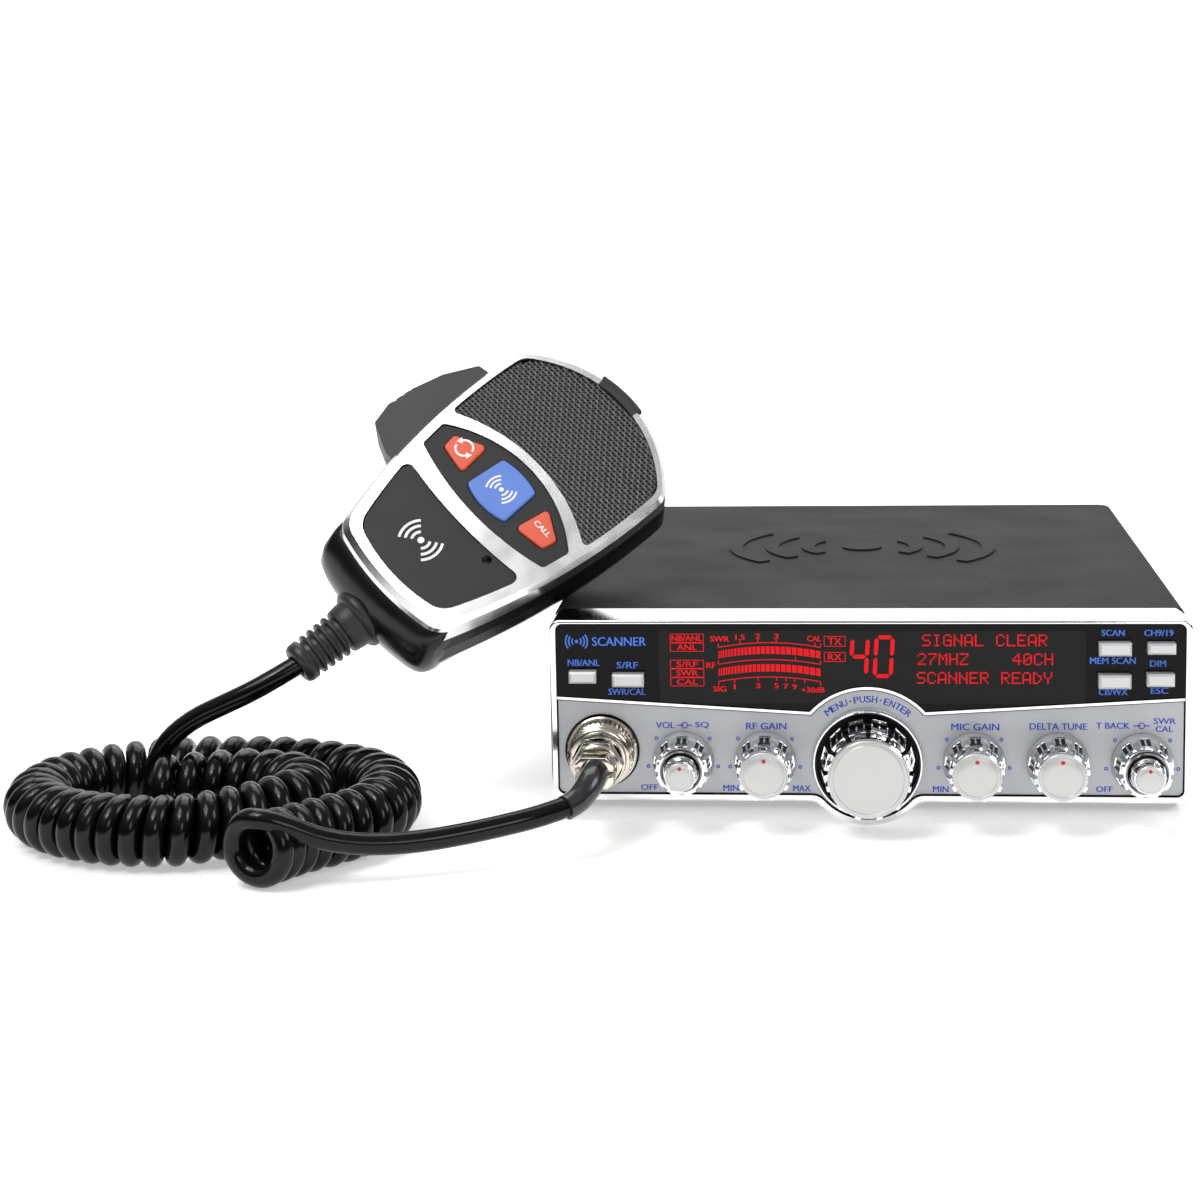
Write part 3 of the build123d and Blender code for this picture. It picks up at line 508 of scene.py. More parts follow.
# ---- camera, light and floor ----
def make_camera():
    yaw, pitch, roll = 0.0949, 0.1437, 0.0192
    turn = Matrix.Rotation(yaw, 3, "Z") @ Matrix.Rotation(-pitch, 3, "X")
    turn = turn @ Matrix.Rotation(roll, 3, "Y")
    right, ahead, up = turn.col[0], turn.col[1], turn.col[2]
    data = bpy.data.cameras.new("camera")
    data.lens = 73.9
    data.sensor_width = 36.0
    data.shift_y = -0.10
    cam = new_object("camera", data)
    pose = Matrix((right, up, -ahead)).transposed().to_4x4()
    pose.translation = Vector((-9.8, -804.2, 203.2)) * MM
    cam.matrix_world = pose
    bpy.context.scene.camera = cam


def area_light(name, place, aim, size, power):
    data = bpy.data.lights.new(name, "AREA")
    data.size = size
    data.energy = power
    lamp = new_object(name, data)
    lamp.location = place
    lamp.rotation_mode = "QUATERNION"
    lamp.rotation_quaternion = (Vector(aim) - Vector(place)).to_track_quat("-Z", "Y")


def make_light():
    world = bpy.data.worlds.new("studio")
    world.use_nodes = True
    nodes, links = world.node_tree.nodes, world.node_tree.links
    coords = nodes.new("ShaderNodeTexCoord")
    split = nodes.new("ShaderNodeSeparateXYZ")
    ramp = nodes.new("ShaderNodeValToRGB")
    rise = nodes.new("ShaderNodeMapRange")
    rise.inputs["From Min"].default_value = -1.0
    links.new(coords.outputs["Generated"], split.inputs["Vector"])
    links.new(split.outputs["Z"], rise.inputs["Value"])
    links.new(rise.outputs["Result"], ramp.inputs["Fac"])
    stops = [(0.0, 0.8), (0.49, 0.9), (0.52, 0.12), (0.66, 0.10), (0.78, 0.75), (1.0, 1.0)]
    while len(ramp.color_ramp.elements) < len(stops):
        ramp.color_ramp.elements.new(0.5)
    for element, (where, level) in zip(ramp.color_ramp.elements, stops):
        element.position = where
        element.color = (level, level, level, 1)
    links.new(ramp.outputs["Color"], nodes["Background"].inputs["Color"])
    nodes["Background"].inputs["Strength"].default_value = 0.42
    bpy.context.scene.world = world
    bpy.context.scene.view_settings.view_transform = "Standard"
    area_light("key", (-0.7, -0.7, 1.5), (0, 0, 0.03), 0.9, 13)
    area_light("front", (0.5, -1.6, 0.75), (0, 0, 0.03), 0.5, 3.5)
    area_light("side", (1.2, -0.1, 0.9), (0, 0, 0.03), 0.6, 6)
    area_light("back", (-0.1, 0.9, 1.4), (0, 0.1, 0.03), 1.3, 13)
    area_light("spark", (-0.5, -0.85, 1.15), (-0.1, -0.1, 0.03), 0.12, 2.0)
    make_floor()


def make_floor():
    """White sheet that curves up into the background."""
    pale = surface("floor_pale", (0.86, 0.86, 0.86), 0.7, mottle=0.01, mottle_mm=400)
    glow(pale, (1, 1, 1), 0.42)
    floor = Solid(pale)
    half, bend_r, below = 4000, 900, -0.02
    sweep = [(-3000, below), (bend_r, below)]
    for n in range(1, 25):
        a = pi / 2 * n / 24
        sweep.append((bend_r * (1 + sin(a)), bend_r * (1 - cos(a)) + below))
    sweep.append((1800, 2500))
    for (y0, z0), (y1, z1) in zip(sweep, sweep[1:]):
        floor.add([(-half, y0, z0), (half, y0, z0), (half, y1, z1), (-half, y1, z1)],
                  [[0, 1, 2, 3]])
    floor.build("floor", None, angle=60)


# ---- cord ----
CABLE_R = 3.1
CURL_R = 7.0
TURNS = 53.75
STEPS_PER_TURN = 16
LEAD = [(-166.35, -100.5, 47.0), (-177.0, -105.8, 41.0), (-188.5, -106.0, 35.6),
        (-198.5, -105.5, 31.0), (-205.8, -105.9, 25.4), (-209.8, -106.0, 19.6),
        (-211.5, -105.6, 14.6)]
CURL = [(-165.0, -173.0, 10.5), (-159.0, -161.5, 10.4), (-149.5, -151.5, 10.4),
        (-140.5, -140.0, 10.4), (-137.4, -121.5, 10.4), (-142.5, -104.0, 10.4),
        (-158.0, -91.5, 10.4), (-179.0, -85.8, 10.4), (-202.0, -86.0, 10.4),
        (-224.5, -93.0, 10.4), (-239.5, -108.0, 10.4), (-241.5, -127.5, 10.4),
        (-231.0, -143.5, 10.4), (-212.5, -152.5, 10.4), (-193.5, -154.0, 10.4),
        (-179.0, -147.0, 11.0), (-168.0, -138.5, 12.0), (-161.0, -126.5, 12.4),
        (-165.5, -113.0, 12.4), (-180.0, -107.0, 12.0), (-195.0, -108.0, 11.5),
        (-210.0, -112.0, 11.0)]
TAIL = [(-81.5, -144.0, 16.5), (-88.5, -149.6, 15.0), (-99.0, -153.6, 13.2),
        (-111.7, -158.0, 11.4), (-124.7, -162.6, 10.4), (-137.6, -167.2, 11.1),
        (-148.5, -170.4, 13.8), (-155.5, -171.9, 17.3), (-160.8, -172.8, 19.3)]


def coil_points():
    """Control points of the curl, from the plug's end to the microphone's end."""
    spine = smooth_line("curl_spine", CURL, 24)
    lengths = [0.0]
    for a, b in zip(spine, spine[1:]):
        lengths.append(lengths[-1] + (b - a).length)
    total = lengths[-1]
    dice = random.Random(7)
    wobble = [dice.uniform(-1, 1) for _ in range(int(TURNS) + 3)]
    points = []
    count = int(TURNS * STEPS_PER_TURN)
    seg = 0
    for n in range(count + 1):
        share = n / count
        turn_at = share * TURNS
        along = total * (share - 0.016 * sin(2 * pi * (share * 1.5 + 0.05)))
        along = min(max(along, 0.0), total)
        while seg < len(lengths) - 2 and lengths[seg + 1] < along:
            seg += 1
        part = (along - lengths[seg]) / max(1e-9, lengths[seg + 1] - lengths[seg])
        middle = spine[seg].lerp(spine[seg + 1], part)
        ahead = spine[min(seg + 3, len(spine) - 1)] - spine[max(seg - 2, 0)]
        side = ahead.normalized().cross(Vector((0, 0, 1)))
        k = int(turn_at)
        jitter = wobble[k] * (1 - turn_at % 1) + wobble[k + 1] * (turn_at % 1)
        opened = max(0.0, 1 - turn_at / 1.6) * 1.1
        size = (CURL_R + opened) * (1 + 0.012 * jitter) / cos(pi / STEPS_PER_TURN)
        angle = -2 * pi * turn_at
        middle = middle + Vector((0, 0, opened))
        around = Vector((0, 0, 1)) * cos(angle) + side * sin(angle)
        points.append(middle + around * size)
    return points


def make_cord(plug, sleeve):
    route = [Vector(p) for p in LEAD] + coil_points()[::-1] + [Vector(p) for p in TAIL[::-1]]
    line = smooth_line("cord_line", route, 3)
    verts, faces = tube_mesh(line, CABLE_R, 14)
    cord = add_mesh("curly_cable", verts, faces, CORD, None, angle=60)
    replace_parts(cord, "cord_tail", "curly_cord", "cord_lead")
    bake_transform(cord)


# ---- knobs ----
def radial(slant=0.0, start=0.0):
    """Local x towards the panel and local z away from the knob's axis, tapering by slant."""
    return Matrix(((slant, 0, 1, start), (0, 1, 0, 0), (-1, 0, 0, 0), (0, 0, 0, 1)))


def lug_ring(solid, count, inner, outer, z0, z1, width, slant, turn):
    """Grip lugs round a tapering barrel, each a bright frame about a pocket coloured glossy black
    as painted dark reflection of the chrome lug.
    """
    for n in range(count):
        place = Matrix.Rotation(2 * pi * (n + turn) / count, 4, "Z")
        half, rim = width / 2, 0.4
        depth = outer - inner
        place = place @ radial(slant, inner + slant * z0)
        solid.use(CHROME)
        for y0, y1, a, b in ((-half, -half + rim, z0, z1), (half - rim, half, z0, z1),
                             (-half + rim, half - rim, z0, z0 + rim),
                             (-half + rim, half - rim, z1 - rim, z1)):
            solid.box(-b, -a, y0, y1, 0, depth, 0.12, place)
        # Painted reflection: the glossy black pocket stands in for the dark reflection seen in the
        # face of each chrome lug.
        solid.use(GLOSS)
        solid.box(-z1 + rim, -z0 - rim, -half + rim, half - rim, 0, depth - 0.5, 0, place)
        solid.use(CHROME)
        solid.box(-z1 + rim * 2.4, -z0 - rim * 2.4, -0.28, 0.28, 0, depth - 0.15, 0.05, place)


def front_bumps(solid, count, radius, reach, z0, z1, turn):
    half = 0.8
    for n in range(count):
        place = Matrix.Rotation(2 * pi * (n + turn) / count, 4, "Z") @ radial()
        solid.box(-z1, -z0, -half, half, radius - half, radius + reach, 0.3, place)


def capped_end(solid, radius, z0, top, dome, groove):
    """Chrome rim and a satin, slightly domed face with a fine turned line."""
    solid.use(CHROME)
    solid.lathe([(radius - 0.4, z0), (radius + 0.15, z0 + 0.1), (radius + 0.2, top - 1.1),
                 (radius - 0.05, top - 0.75), (radius - 0.3, top - 0.7)], 72)
    solid.use(SATIN)
    solid.lathe([(radius - 0.25, top - 0.9), (radius - 0.12, top - 0.5),
                 (radius - 0.45, top - 0.12), (radius - 1.0, top), (groove + 0.16, top + 0.03),
                 (groove, top - 0.09), (groove - 0.16, top + 0.03),
                 (groove * 0.6, top + dome * 0.7), (groove * 0.25, top + dome),
                 (0, top + dome)], 72)


def red_dot(solid, up, z, radius=0.62):
    solid.use(RED_DOT)
    place = Matrix.Translation((0, up, z))
    solid.lathe([(radius, -0.15), (radius, 0.02), (radius * 0.8, 0.1), (0, 0.12)], 24, place)


def base_skirt(solid, wide):
    solid.use(PANEL)
    solid.lathe([(wide, 0.25), (wide + 0.1, 0.6), (wide - 0.25, 2.2), (wide - 0.7, 3.2),
                 (wide - 1.3, 3.5), (4.0, 3.5)], 72)


def shaft(solid, radius, z0, z1):
    solid.use(STEEL)
    solid.lathe([(0, z0), (radius, z0), (radius, z1)], 24)


def single_knob(name, x):
    solid = Solid(CHROME)
    base_skirt(solid, 8.8)
    shaft(solid, 3.0, -16.4, 3.5)
    solid.use(CHROME)
    solid.lathe([(7.4, 3.4), (7.5, 3.6), (6.7, 10.4), (6.5, 10.6)], 72)
    lug_ring(solid, 9, 7.3, 8.7, 3.8, 10.6, 3.6, 0.15, 0.25)
    front_bumps(solid, 9, 6.9, 0.95, 12.0, 15.5, 0.25)
    capped_end(solid, 6.9, 10.2, 16.5, 0.18, 5.7)
    red_dot(solid, 4.3, 16.6)
    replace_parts(solid.build(name + "_look", name, front_at(x, KNOB_Z)), name)


def dual_knob(outer_name, inner_name, x):
    solid = Solid(CHROME)
    base_skirt(solid, 8.8)
    shaft(solid, 3.0, -10.4, 3.5)
    solid.use(CHROME)
    solid.lathe([(7.2, 3.4), (7.3, 3.6), (6.5, 11.0), (6.7, 11.4), (6.6, 12.0), (6.1, 12.1),
                 (5.6, 11.5), (5.1, 11.3), (2.2, 11.3)], 72)
    lug_ring(solid, 9, 7.1, 8.5, 3.8, 10.2, 3.5, 0.16, 0.25)
    front_bumps(solid, 9, 6.6, 0.75, 10.2, 11.8, 0.25)
    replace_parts(solid.build(outer_name + "_look", outer_name, front_at(x, KNOB_Z)), outer_name)
    solid = Solid(CHROME)
    shaft(solid, 1.8, -16.7, 12.6)
    solid.use(CHROME)
    solid.lathe([(2.0, 12.35), (4.6, 12.4), (4.75, 12.8), (4.2, 13.6), (4.0, 16.4)], 56)
    front_bumps(solid, 7, 4.25, 0.3, 13.2, 18.4, 0.25)
    capped_end(solid, 4.2, 15.2, 18.95, 0.14, 3.4)
    red_dot(solid, 2.6, 19.05, 0.55)
    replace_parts(solid.build(inner_name + "_look", inner_name, front_at(x, KNOB_Z)), inner_name)


def channel_knob():
    solid = Solid(CHROME)
    solid.lathe([(3.1, 2.4), (12.0, 2.3), (12.2, 2.6), (11.3, 12.2), (11.0, 12.4)], 96)
    lug_ring(solid, 12, 12.0, 13.5, 2.8, 12.6, 4.9, 0.11, 0.5)
    front_bumps(solid, 12, 11.4, 0.9, 13.0, 18.8, 0.5)
    capped_end(solid, 11.4, 12.0, 20.0, 0.22, 10.0)
    place = front_at(0, KNOB_Z)
    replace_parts(solid.build("channel_knob_look", "channel_knob", place), "channel_knob")
    solid = Solid(CHROME)
    solid.lathe([(15.0, 0.2), (15.05, 2.6), (15.25, 3.0), (15.65, 3.0), (15.9, 2.6),
                 (16.0, 0.1)], 96)
    solid.use(BLACK)
    solid.lathe([(15.02, 2.4), (14.7, 2.3), (14.6, -1.0), (13.6, -1.3), (5.5, -1.3),
                 (5.4, -1.5)], 96)
    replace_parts(solid.build("channel_recess", "radio", place), "knob_ring")


def make_knobs():
    for name, x in (("rf_gain_knob", -29.6), ("mic_gain_knob", 30.5), ("delta_tune_knob", 54.3)):
        single_knob(name, x)
    dual_knob("volume_knob", "squelch_knob", -53.4)
    dual_knob("talkback_knob", "swr_cal_knob", 78.2)
    channel_knob()


# ---- microphone plug ----
def knurled(solid, inner, outer, z0, z1, teeth):
    verts, faces = [], []
    for z, lift in ((z0, 0.0), (z0 + 0.4, 1.0), (z1 - 0.4, 1.0), (z1, 0.0)):
        for n in range(teeth * 2):
            a = pi * n / teeth
            r = inner + (outer - inner) * lift * (1.0 if n % 2 else 0.45)
            verts.append((r * cos(a), r * sin(a), z))
    count = teeth * 2
    for a, b in ((0, count), (count, 2 * count), (2 * count, 3 * count)):
        for n in range(count):
            m = (n + 1) % count
            faces.append([a + n, a + m, b + m, b + n])
    solid.add(verts, faces)


def make_plug():
    place = front_at(SOCKET_X, SOCKET_Z)
    solid = Solid(GLOSS)
    solid.lathe([(10.9, 0.05), (10.9, 0.5), (10.3, 0.6)], 72)
    solid.use(NICKEL)
    solid.lathe([(10.35, 0.2), (10.35, 1.5), (10.0, 1.8), (9.4, 1.8)], 72)
    solid.use(GLOSS)
    solid.lathe([(9.45, 1.75), (9.1, 1.2), (8.2, 1.2), (7.8, 2.0), (7.8, -13.0), (0, -13.0)], 72)
    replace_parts(solid.build("socket_ring", "radio", place), "mic_socket")
    solid = Solid(NICKEL)
    knurled(solid, 9.0, 9.7, 2.4, 6.6, 44)
    solid.lathe([(7.9, 2.5), (9.0, 2.4)], 72)
    solid.lathe([(9.0, 6.6), (9.3, 6.8), (9.3, 7.6), (8.9, 7.9), (8.9, 9.8), (8.5, 10.2),
                 (8.0, 10.3), (7.9, 11.6), (7.7, 12.0), (7.2, 12.1), (7.2, 14.4)], 72)
    hexagon = circle(0, 0, 7.7, 6)
    solid.prism(rounded(hexagon, 0.6), 13.6, 17.6, 0.7)
    solid.lathe([(6.4, 17.4), (6.3, 18.6), (5.9, 19.0)], 48)
    for side in (-1, 1):
        jaw = [(-5.6, 0.5), (5.6, 0.5), (5.6, 2.6), (3.6, 4.6), (-3.6, 4.6), (-5.6, 2.6)]
        lean = Matrix.Rotation(0 if side > 0 else pi, 4, "Z")
        solid.prism(rounded(jaw, 0.5), 18.0, 26.6, 0.5, lean)
        solid.use(SCREW)
        for x in (-4.3, 4.3):
            screw = lean @ Matrix.Translation((x, 0, 22.4)) @ Matrix.Rotation(-pi / 2, 4, "X")
            solid.lathe([(1.2, 0.6), (1.2, 3.6), (0.9, 3.9), (0, 3.9)], 20, screw)
        solid.use(NICKEL)
    plug = solid.build("plug_shell", "radio", place)
    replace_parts(plug, "mic_plug")
    route = [(-77.0, -132.6, 22.0), (-77.3, -137.0, 21.4), (-78.7, -141.0, 19.2),
             (-81.2, -144.0, 16.7), (-83.8, -146.4, 15.9)]
    line = smooth_line("sleeve_line", route, 8)
    sides = 24
    verts, faces = tube_mesh(line, 4.3, sides)
    for n, middle in enumerate(line):
        size = 1.0 - 0.17 * (n / (len(line) - 1)) ** 0.7
        for i in range(n * sides, (n + 1) * sides):
            verts[i] = middle + (verts[i] - middle) * size
    sleeve = add_mesh("plug_sleeve_look", verts, faces, SLEEVE, "radio", angle=60)
    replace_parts(sleeve, "plug_sleeve")
    return plug, sleeve


# ---- display and legends ----
def write(solid, z, marks):
    for words, x, y, width, height in marks:
        solid.text(words, x, y, width, height, z)


FRONT_FACE = front_at(0, 0)
DOTS = {"A": "7E1111117E", "C": "3E41414122", "D": "7F4142241C", "E": "7F49494941",
        "G": "3E4149497A", "H": "7F0808087F", "I": "00417F4100", "L": "7F40404040",
        "M": "7F020C027F", "N": "7F0408107F", "R": "7F09192946", "S": "4649494931",
        "Y": "0708700807", "Z": "6151494543", "0": "3E5149453E", "2": "4261514946",
        "4": "1814127F10", "7": "0171090503"}


def dot_text(solid, words, middle, z_mid):
    """Letters made of small dots, five by seven."""
    pitch = 0.5
    half = pitch * 0.44
    start = middle - (len(words) * 6 - 1) * pitch / 2
    for n, letter in enumerate(words):
        for column, bits in enumerate(bytes.fromhex(DOTS.get(letter, ""))):
            for line in range(7):
                if bits >> line & 1:
                    x = start + (n * 6 + column) * pitch
                    y = z_mid + (3 - line) * pitch
                    solid.box(x, x + 2 * half, y - half, y + half, *INK)


def segment_digit(solid, lit, x, y, width, height):
    """Seven-segment figure with the bars named in lit; x, y is its middle."""
    w, h, t, lean = width / 2, height / 2, 0.58, 0.06
    bars = {"a": ((-w, h), (w, h)), "g": ((-w, 0), (w, 0)), "d": ((-w, -h), (w, -h)),
            "f": ((-w, h), (-w, 0)), "b": ((w, h), (w, 0)), "e": ((-w, 0), (-w, -h)),
            "c": ((w, 0), (w, -h))}
    for key in lit:
        a, b = Vector(bars[key][0]), Vector(bars[key][1])
        along = (b - a).normalized()
        side = Vector((-along.y, along.x)) * t
        a, b = a + along * 0.25, b - along * 0.25
        shape = [a, a + along * t - side, b - along * t - side, b, b - along * t + side,
                 a + along * t + side]
        outline = [(x + p.x + lean * p.y, y + p.y) for p in shape]
        solid.prism(outline, INK[0], INK[1] + 0.01)


METER_X, METER_HALF, METER_RISE = -28.1, 14.7, 1.4


def bow(x, level):
    return level + METER_RISE * (1 - ((x - METER_X) / METER_HALF) ** 2)


def meter(solid):
    for level in (52.7, 47.7, 42.6):
        places = [METER_X + METER_HALF * t / 12 for t in range(-12, 13)]
        solid.strip([(x, bow(x, level)) for x in places], 0.28, *INK)
    tall, gap = 2.2, 0.30
    for level in (49.4, 44.2):
        x, k = METER_X - METER_HALF, 0
        while x < METER_X + METER_HALF - 0.5:
            end = min(x + min(0.32 + 0.055 * k, 1.5), METER_X + METER_HALF)
            y0, y1 = bow(x, level), bow(end, level)
            solid.prism([(x, y0), (end, y1), (end, y1 + tall), (x, y0 + tall)], *INK)
            x = end + gap
            k += 1
    ticks = [(52.7, 1.1, (-42.8, -36.5, -31.4, -26.1, -15.0, -13.4)),
             (47.7, 1.1, (-42.8, -20.6, -13.4)),
             (42.6, -1.1, (-42.8, -38.2, -31.4, -26.1, -23.4, -20.9, -18.0, -13.4))]
    for level, rise, places in ticks:
        for x in places:
            y = bow(x, level)
            solid.box(x - 0.13, x + 0.13, min(y, y + rise), max(y, y + rise), *INK)
    write(solid, INK[1], [
        ("SWR", -42.4, 55.2, 5.4, 1.7), ("1.5", -36.5, 55.7, 2.6, 1.6),
        ("2", -31.4, 56.0, 1.3, 1.6), ("3", -26.1, 56.0, 1.3, 1.6),
        ("CAL", -15.2, 55.3, 3.9, 1.6), ("SIG", -42.5, 40.4, 3.7, 1.6),
        ("RF", -45.0, 47.4, 2.6, 1.7), ("1", -38.2, 41.1, 0.5, 1.5),
        ("3", -31.4, 41.4, 1.2, 1.5), ("5", -26.1, 41.4, 1.2, 1.5),
        ("7", -23.4, 41.2, 1.2, 1.5), ("9", -20.9, 41.1, 1.2, 1.5),
        ("+30dB", -15.6, 40.2, 6.6, 1.6)])


def outlined(solid, words, x, y, width, height, inset):
    """Words in a thin frame."""
    w, h = width / 2, height / 2
    corners = [(x - w, y - h), (x + w, y - h), (x + w, y + h), (x - w, y + h)]
    for n in range(4):
        solid.strip([corners[n], corners[(n + 1) % 4]], 0.2, *INK)
    solid.text(words, x, y, width - inset, height - 0.8, INK[1])


def make_display():
    zone = Solid(GLASS_ZONE)
    low, top, side = 36.3, 57.6, 14.3
    over_knob = arc((-side, low), (0, 41.4), (side, low), 16)
    zone.prism([(-60, low)] + over_knob + [(side, low), (62, low), (62, top), (-60, top)],
               -0.02, INK[0])
    zone.build("display_pane", "radio", FRONT_FACE)
    solid = Solid(RED)
    for words, y, inset in (("NB/ANL", 55.4, 0.8), ("ANL", 52.7, 4.0), ("S/RF", 47.7, 3.4),
                            ("SWR", 45.1, 3.4), ("CAL", 42.5, 3.6)):
        outlined(solid, words, -51.9, y, 9.6, 2.4, inset)
    meter(solid)
    outlined(solid, "TX", -9.3, 54.5, 6.0, 2.9, 2.2)
    outlined(solid, "RX", -9.3, 49.9, 6.0, 2.7, 2.2)
    segment_digit(solid, "bcfg", -2.3, 50.0, 4.4, 10.6)
    segment_digit(solid, "abcdef", 4.7, 50.0, 4.6, 11.4)
    dot_text(solid, "SIGNAL CLEAR", 33.4, 54.8)
    dot_text(solid, "27MHZ    40CH", 33.6, 49.3)
    dot_text(solid, "SCANNER READY", 33.4, 43.8)
    solid.build("display_figures", "radio", FRONT_FACE)


def wave_mark(solid, x, y, size, z0, z1, place=None):
    """A dot between pairs of arcs."""
    solid.prism(circle(x, y, size * 0.16, 24), z0, z1, 0, place)
    for side in (-1, 1):
        for radius in (0.42 * size, 0.72 * size, size):
            turns = [radians(n * 6.5) for n in range(-6, 7)]
            line = [(x + side * radius * cos(a), y + radius * sin(a)) for a in turns]
            solid.strip(line, size * 0.13, z0, z1, place)


def control_sign(solid, x, y):
    """Sign between the names of a double control: a ring with a line on each side."""
    radius, reach = 0.85, 2.3
    for line in (circle(x, y, radius, 20, True), [(x - reach, y), (x - 0.1, y)],
                 [(x + radius, y), (x + reach, y)]):
        solid.strip(line, 0.28, *INK)


def make_legends():
    solid = Solid(LEGEND_LIT)
    write(solid, LEGEND_INK[1], [
        ("NB/ANL", -82.0, 48.1, 9.3, 1.9), ("S/RF", -69.3, 47.4, 6.2, 1.9),
        ("SWR/CAL", -69.5, 39.5, 10.8, 1.9), ("SCAN", 69.6, 57.0, 6.4, 1.8),
        ("CH9/19", 82.4, 57.0, 8.1, 1.8), ("MEM SCAN", 69.6, 48.9, 12.8, 1.9),
        ("DIM", 82.3, 48.1, 4.4, 1.8), ("CB/WX", 69.8, 39.8, 8.1, 1.9),
        ("ESC", 82.8, 40.2, 4.8, 1.8), ("SCANNER", -71.6, 54.4, 15.6, 2.6)])
    wave_mark(solid, -84.0, 54.4, 3.2, *LEGEND_INK)
    solid.build("window_legends", "radio", FRONT_FACE)
    solid = Solid(LEGEND)
    write(solid, LEGEND_INK[1], [
        ("VOL", -58.5, 29.6, 5.4, 1.9), ("SQ", -47.8, 29.6, 3.9, 1.9),
        ("RF GAIN", -29.2, 29.4, 11.6, 2.0), ("OFF", -63.4, 11.0, 4.9, 1.7),
        ("MIN", -39.6, 10.9, 4.4, 1.8), ("MAX", -19.0, 10.9, 5.0, 1.8),
        ("MIC GAIN", 30.8, 29.4, 13.6, 2.0), ("DELTA TUNE", 54.4, 29.6, 16.2, 1.9),
        ("T BACK", 69.8, 29.9, 9.4, 1.8), ("SWR", 84.4, 31.3, 6.2, 1.7),
        ("CAL", 84.3, 29.0, 4.8, 1.7), ("MIN", 21.0, 10.9, 4.4, 1.8),
        ("OFF", 67.6, 11.2, 4.6, 1.7)])
    control_sign(solid, -52.9, 29.6)
    control_sign(solid, 77.9, 29.9)
    out = 10.3
    for x in (-53.4, -29.6, 30.5, 78.2):
        for turn in (-9, 41, 139, 189):
            a = radians(turn)
            ring = circle(x + out * cos(a), KNOB_Z + out * sin(a), 0.42, 16, True)
            solid.strip(ring, 0.3, *LEGEND_INK)
    words = "MENU\u00b7PUSH\u00b7ENTER"
    for n, letter in enumerate(words):
        turn = 127.0 - 76.0 * n / (len(words) - 1)
        place = Matrix.Translation((0, KNOB_Z, 0))
        place = place @ Matrix.Rotation(radians(turn - 90), 4, "Z")
        place = place @ Matrix.Translation((0, 18.6, 0))
        if letter == "\u00b7":
            solid.box(-0.25, 0.25, -0.25, 0.25, *LEGEND_INK, 0, place)
        else:
            width = 2.0 if letter == "M" else 1.5
            solid.text(letter, 0, 0, width, 1.95, LEGEND_INK[1], place)
    solid.build("panel_legends", "radio", FRONT_FACE)


# ---- microphone ----
SHOULDER, CROWN = 36, 51.5
FRONT_TAIL = -45.0


def mic_rim(inset, tail):
    """Outline of the microphone, as in the parts."""
    side, waist, low, foot = 34.6 - inset, 33.9 - inset, 23.4 - inset, tail + inset
    heel = foot + 3
    right = arc((low, heel), (waist, 3), (side, SHOULDER), 16)
    crown = arc((side, SHOULDER), (0, CROWN - inset), (-side, SHOULDER), 32)
    left = arc((-side, SHOULDER), (-waist, 3), (-low, heel), 16)
    bottom = arc((-low, heel), (0, foot), (low, heel), 16)
    line = soften(right + crown + left + bottom, [(side, SHOULDER), (-side, SHOULDER)], 5.2)
    return soften(line, [(low, heel), (-low, heel)], 5.0)


def inside(outline, x, y):
    """Whether a point lies within a closed line."""
    hit = False
    for (x0, y0), (x1, y1) in zip(outline, outline[1:] + outline[:1]):
        if (y0 > y) != (y1 > y) and x < (x1 - x0) * (y - y0) / (y1 - y0) + x0:
            hit = not hit
    return hit


def in_grille(rim, x, y):
    """Whether a point lies within the rim and above the arch over the buttons."""
    top, rise, half = 15.3, 19.3, 45.0
    radius = (half ** 2 + rise ** 2) / (2 * rise)
    return hypot(x, y - (top - radius)) > radius + 0.1 and inside(rim, x, y)


def make_grille():
    """Two sets of waved wires that pass over and under each other; one set is coloured lighter as
    painted highlight on the wire crowns and the other darker as painted shade.
    """
    rim = mic_rim(3.5, FRONT_TAIL)
    solid = Solid(WIRE_PAINTED_HIGHLIGHT)
    pitch, wire, middle = 1.27, 0.21, 28
    reach = int(60 / pitch)
    for across in (False, True):
        # The lighter finish on the across wires is painted highlight and the darker finish on the
        # other wires is painted shade; the metal is the same.
        solid.use(WIRE_PAINTED_HIGHLIGHT if across else WIRE_PAINTED_SHADE)
        for n in range(-reach, reach + 1):
            line = []
            for k in range(-reach * 4, reach * 4 + 1):
                along = k * pitch / 4
                x, y = (along, middle + n * pitch) if across else (n * pitch, middle + along)
                if in_grille(rim, x, y):
                    phase = pi * (along / pitch + 0.5 + n)
                    wave = sin(phase) * wire * 1.25 * (1 if across else -1)
                    line.append((x, y, -1.0 + wave))
                    continue
                if len(line) > 4:
                    solid.tube(line, wire, 5)
                line = []
            if len(line) > 4:
                solid.tube(line, wire, 5)
    solid.use(BLACK)
    solid.prism([(x, y) for x, y in mic_rim(3.3, FRONT_TAIL) if y > 4], -2.3, -1.9)
    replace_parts(solid.build("woven_grille", "microphone", MIC, 60), "mic_grille")


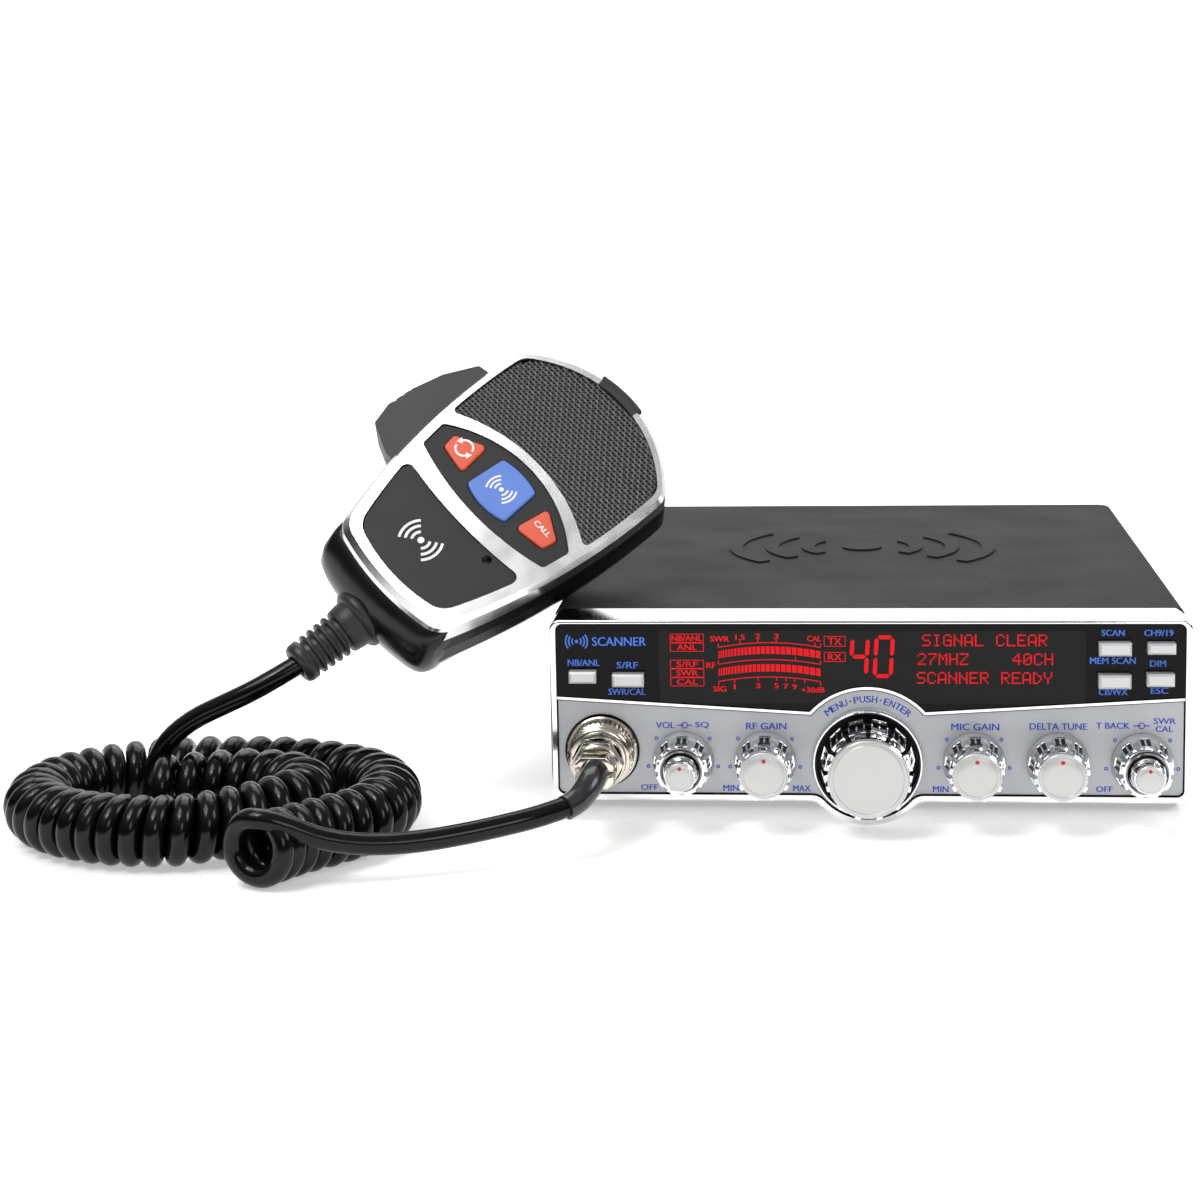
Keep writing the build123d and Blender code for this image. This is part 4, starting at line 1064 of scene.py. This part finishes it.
def make_boot():
    """Strain relief: a fat collar, a smooth neck, four ribs and an end ring."""
    solid = Solid(BOOT)
    line = [(0, -7.0), (6.0, -7.0), (6.0, -0.6), (7.6, -0.5), (8.4, 0.1), (8.75, 1.2), (8.5, 2.4),
            (7.8, 3.1), (7.1, 3.2), (6.9, 3.7), (6.8, 5.0), (6.45, 7.2), (6.2, 7.6), (4.8, 7.7)]
    for n in range(4):
        z, size = 9.0 + 2.45 * n, 6.25 - 0.12 * n
        line += [(4.7, z), (size - 0.25, z + 0.05), (size, z + 0.3), (size, z + 0.9),
                 (size - 0.25, z + 1.15), (4.7, z + 1.2)]
    line += [(4.6, 18.7), (5.4, 18.8), (5.85, 19.2), (5.8, 21.2), (5.3, 22.2), (4.4, 22.6),
             (3.6, 22.4), (3.2, 21.6)]
    line = [(size * 1.1, z * 1.12) for size, z in line[:-2]] + [(3.6, 25.1), (3.2, 24.0)]
    solid.lathe(line, 48)
    place = MIC @ Matrix.Translation((-1.7, -52.0, -16.6)) @ Matrix.Rotation(pi / 2, 4, "X")
    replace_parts(solid.build("boot_look", "microphone", place, 50), "cord_boot")


def make_tail_bulge():
    """The black shell swells out past the bright frame round the microphone's tail."""
    levels = [(-2.7, 0.3, -46.2, 0.2), (-3.0, -0.5, -47.2, 0.2), (-4.6, -1.2, -49.4, 0.1),
              (-8.0, -1.9, -52.2, 0.4), (-13.0, -2.1, -53.9, 0.2), (-18.0, -1.7, -53.9, 0.6),
              (-24.0, 1.2, -52.3, 2.6), (-27.5, 4.6, -49.6, 5.4)]
    verts, half, ramp = [], 20, 10
    for z, inset, tail, home in levels:
        line = [(x, y) for x, y in mic_rim(0.0, tail) if y < -8.0]
        line.sort(key=lambda p: atan2(p[0], -p[1] - 5))
        middle = len(line) // 2
        for n, (x, y) in enumerate(line[middle - half:middle + half + 1]):
            swell = min(1.0, (half - abs(n - half)) / ramp)
            swell = swell * swell * (3 - 2 * swell)
            shift = inset * swell + (home + 1.6) * (1 - swell)
            out = Vector((x * 1.4, y + 12)).normalized()
            verts.append((x - out.x * shift, y - out.y * shift * 0.3, z))
    count = 2 * half + 1
    faces = [[k * count + n, k * count + n + 1, (k + 1) * count + n + 1, (k + 1) * count + n]
             for k in range(len(levels) - 1) for n in range(count - 1)]
    add_mesh("tail_bulge", verts, faces, SHELL, "microphone", MIC, 60)


def make_head_latch():
    """Dark gap in the bright rim at the head, with a lip outside it."""
    solid = Solid(BLACK)
    for finish, inset, width, z0, z1 in ((BLACK, 2.2, 2.5, -1.2, 0.08),
                                         (BOOT, 0.5, 1.0, -4.0, 0.3)):
        solid.use(finish)
        line = [(x, y) for x, y in mic_rim(inset, FRONT_TAIL) if y > 40 and -10.6 < x < 8.2]
        solid.strip(line, width, z0, z1)
    solid.build("head_latch", "microphone", MIC)


def make_mic_marks():
    """White marks on the buttons and the lower panel."""
    solid = Solid(PRINT_WHITE)
    x, y, radius = -18.3, 1.9, 2.7
    for start in (20, 200):
        turns = [radians(start + n * 11) for n in range(13)]
        line = [Vector((x + radius * cos(a), y + radius * sin(a))) for a in turns]
        solid.strip(line, 0.65, *KEY_INK)
        end, ahead = line[-1], (line[-1] - line[-2]).normalized()
        side = Vector((-ahead.y, ahead.x)) * 1.1
        solid.prism([tuple(end + ahead * 1.8), tuple(end - side), tuple(end + side)], *KEY_INK)
    solid.build("left_button_mark", "mic_left_button", MIC)
    solid = Solid(PRINT_WHITE)
    wave_mark(solid, 0.0, 1.2, 4.6, *KEY_INK)
    solid.build("middle_button_mark", "mic_middle_button", MIC)
    solid = Solid(PRINT_WHITE)
    solid.text("CALL", 18.2, 1.9, 6.4, 1.7, KEY_INK[1])
    solid.build("right_button_mark", "mic_right_button", MIC)
    solid = Solid(PRINT_WHITE)
    wave_mark(solid, -3.0, -27.5, 6.6, -0.52, -0.44)
    solid.build("mic_panel_mark", "microphone", MIC)


finish_cad_nodes()
make_camera()
make_light()
make_knobs()
make_cord(*make_plug())
make_display()
make_legends()
make_grille()
make_boot()
make_head_latch()
make_tail_bulge()
make_mic_marks()
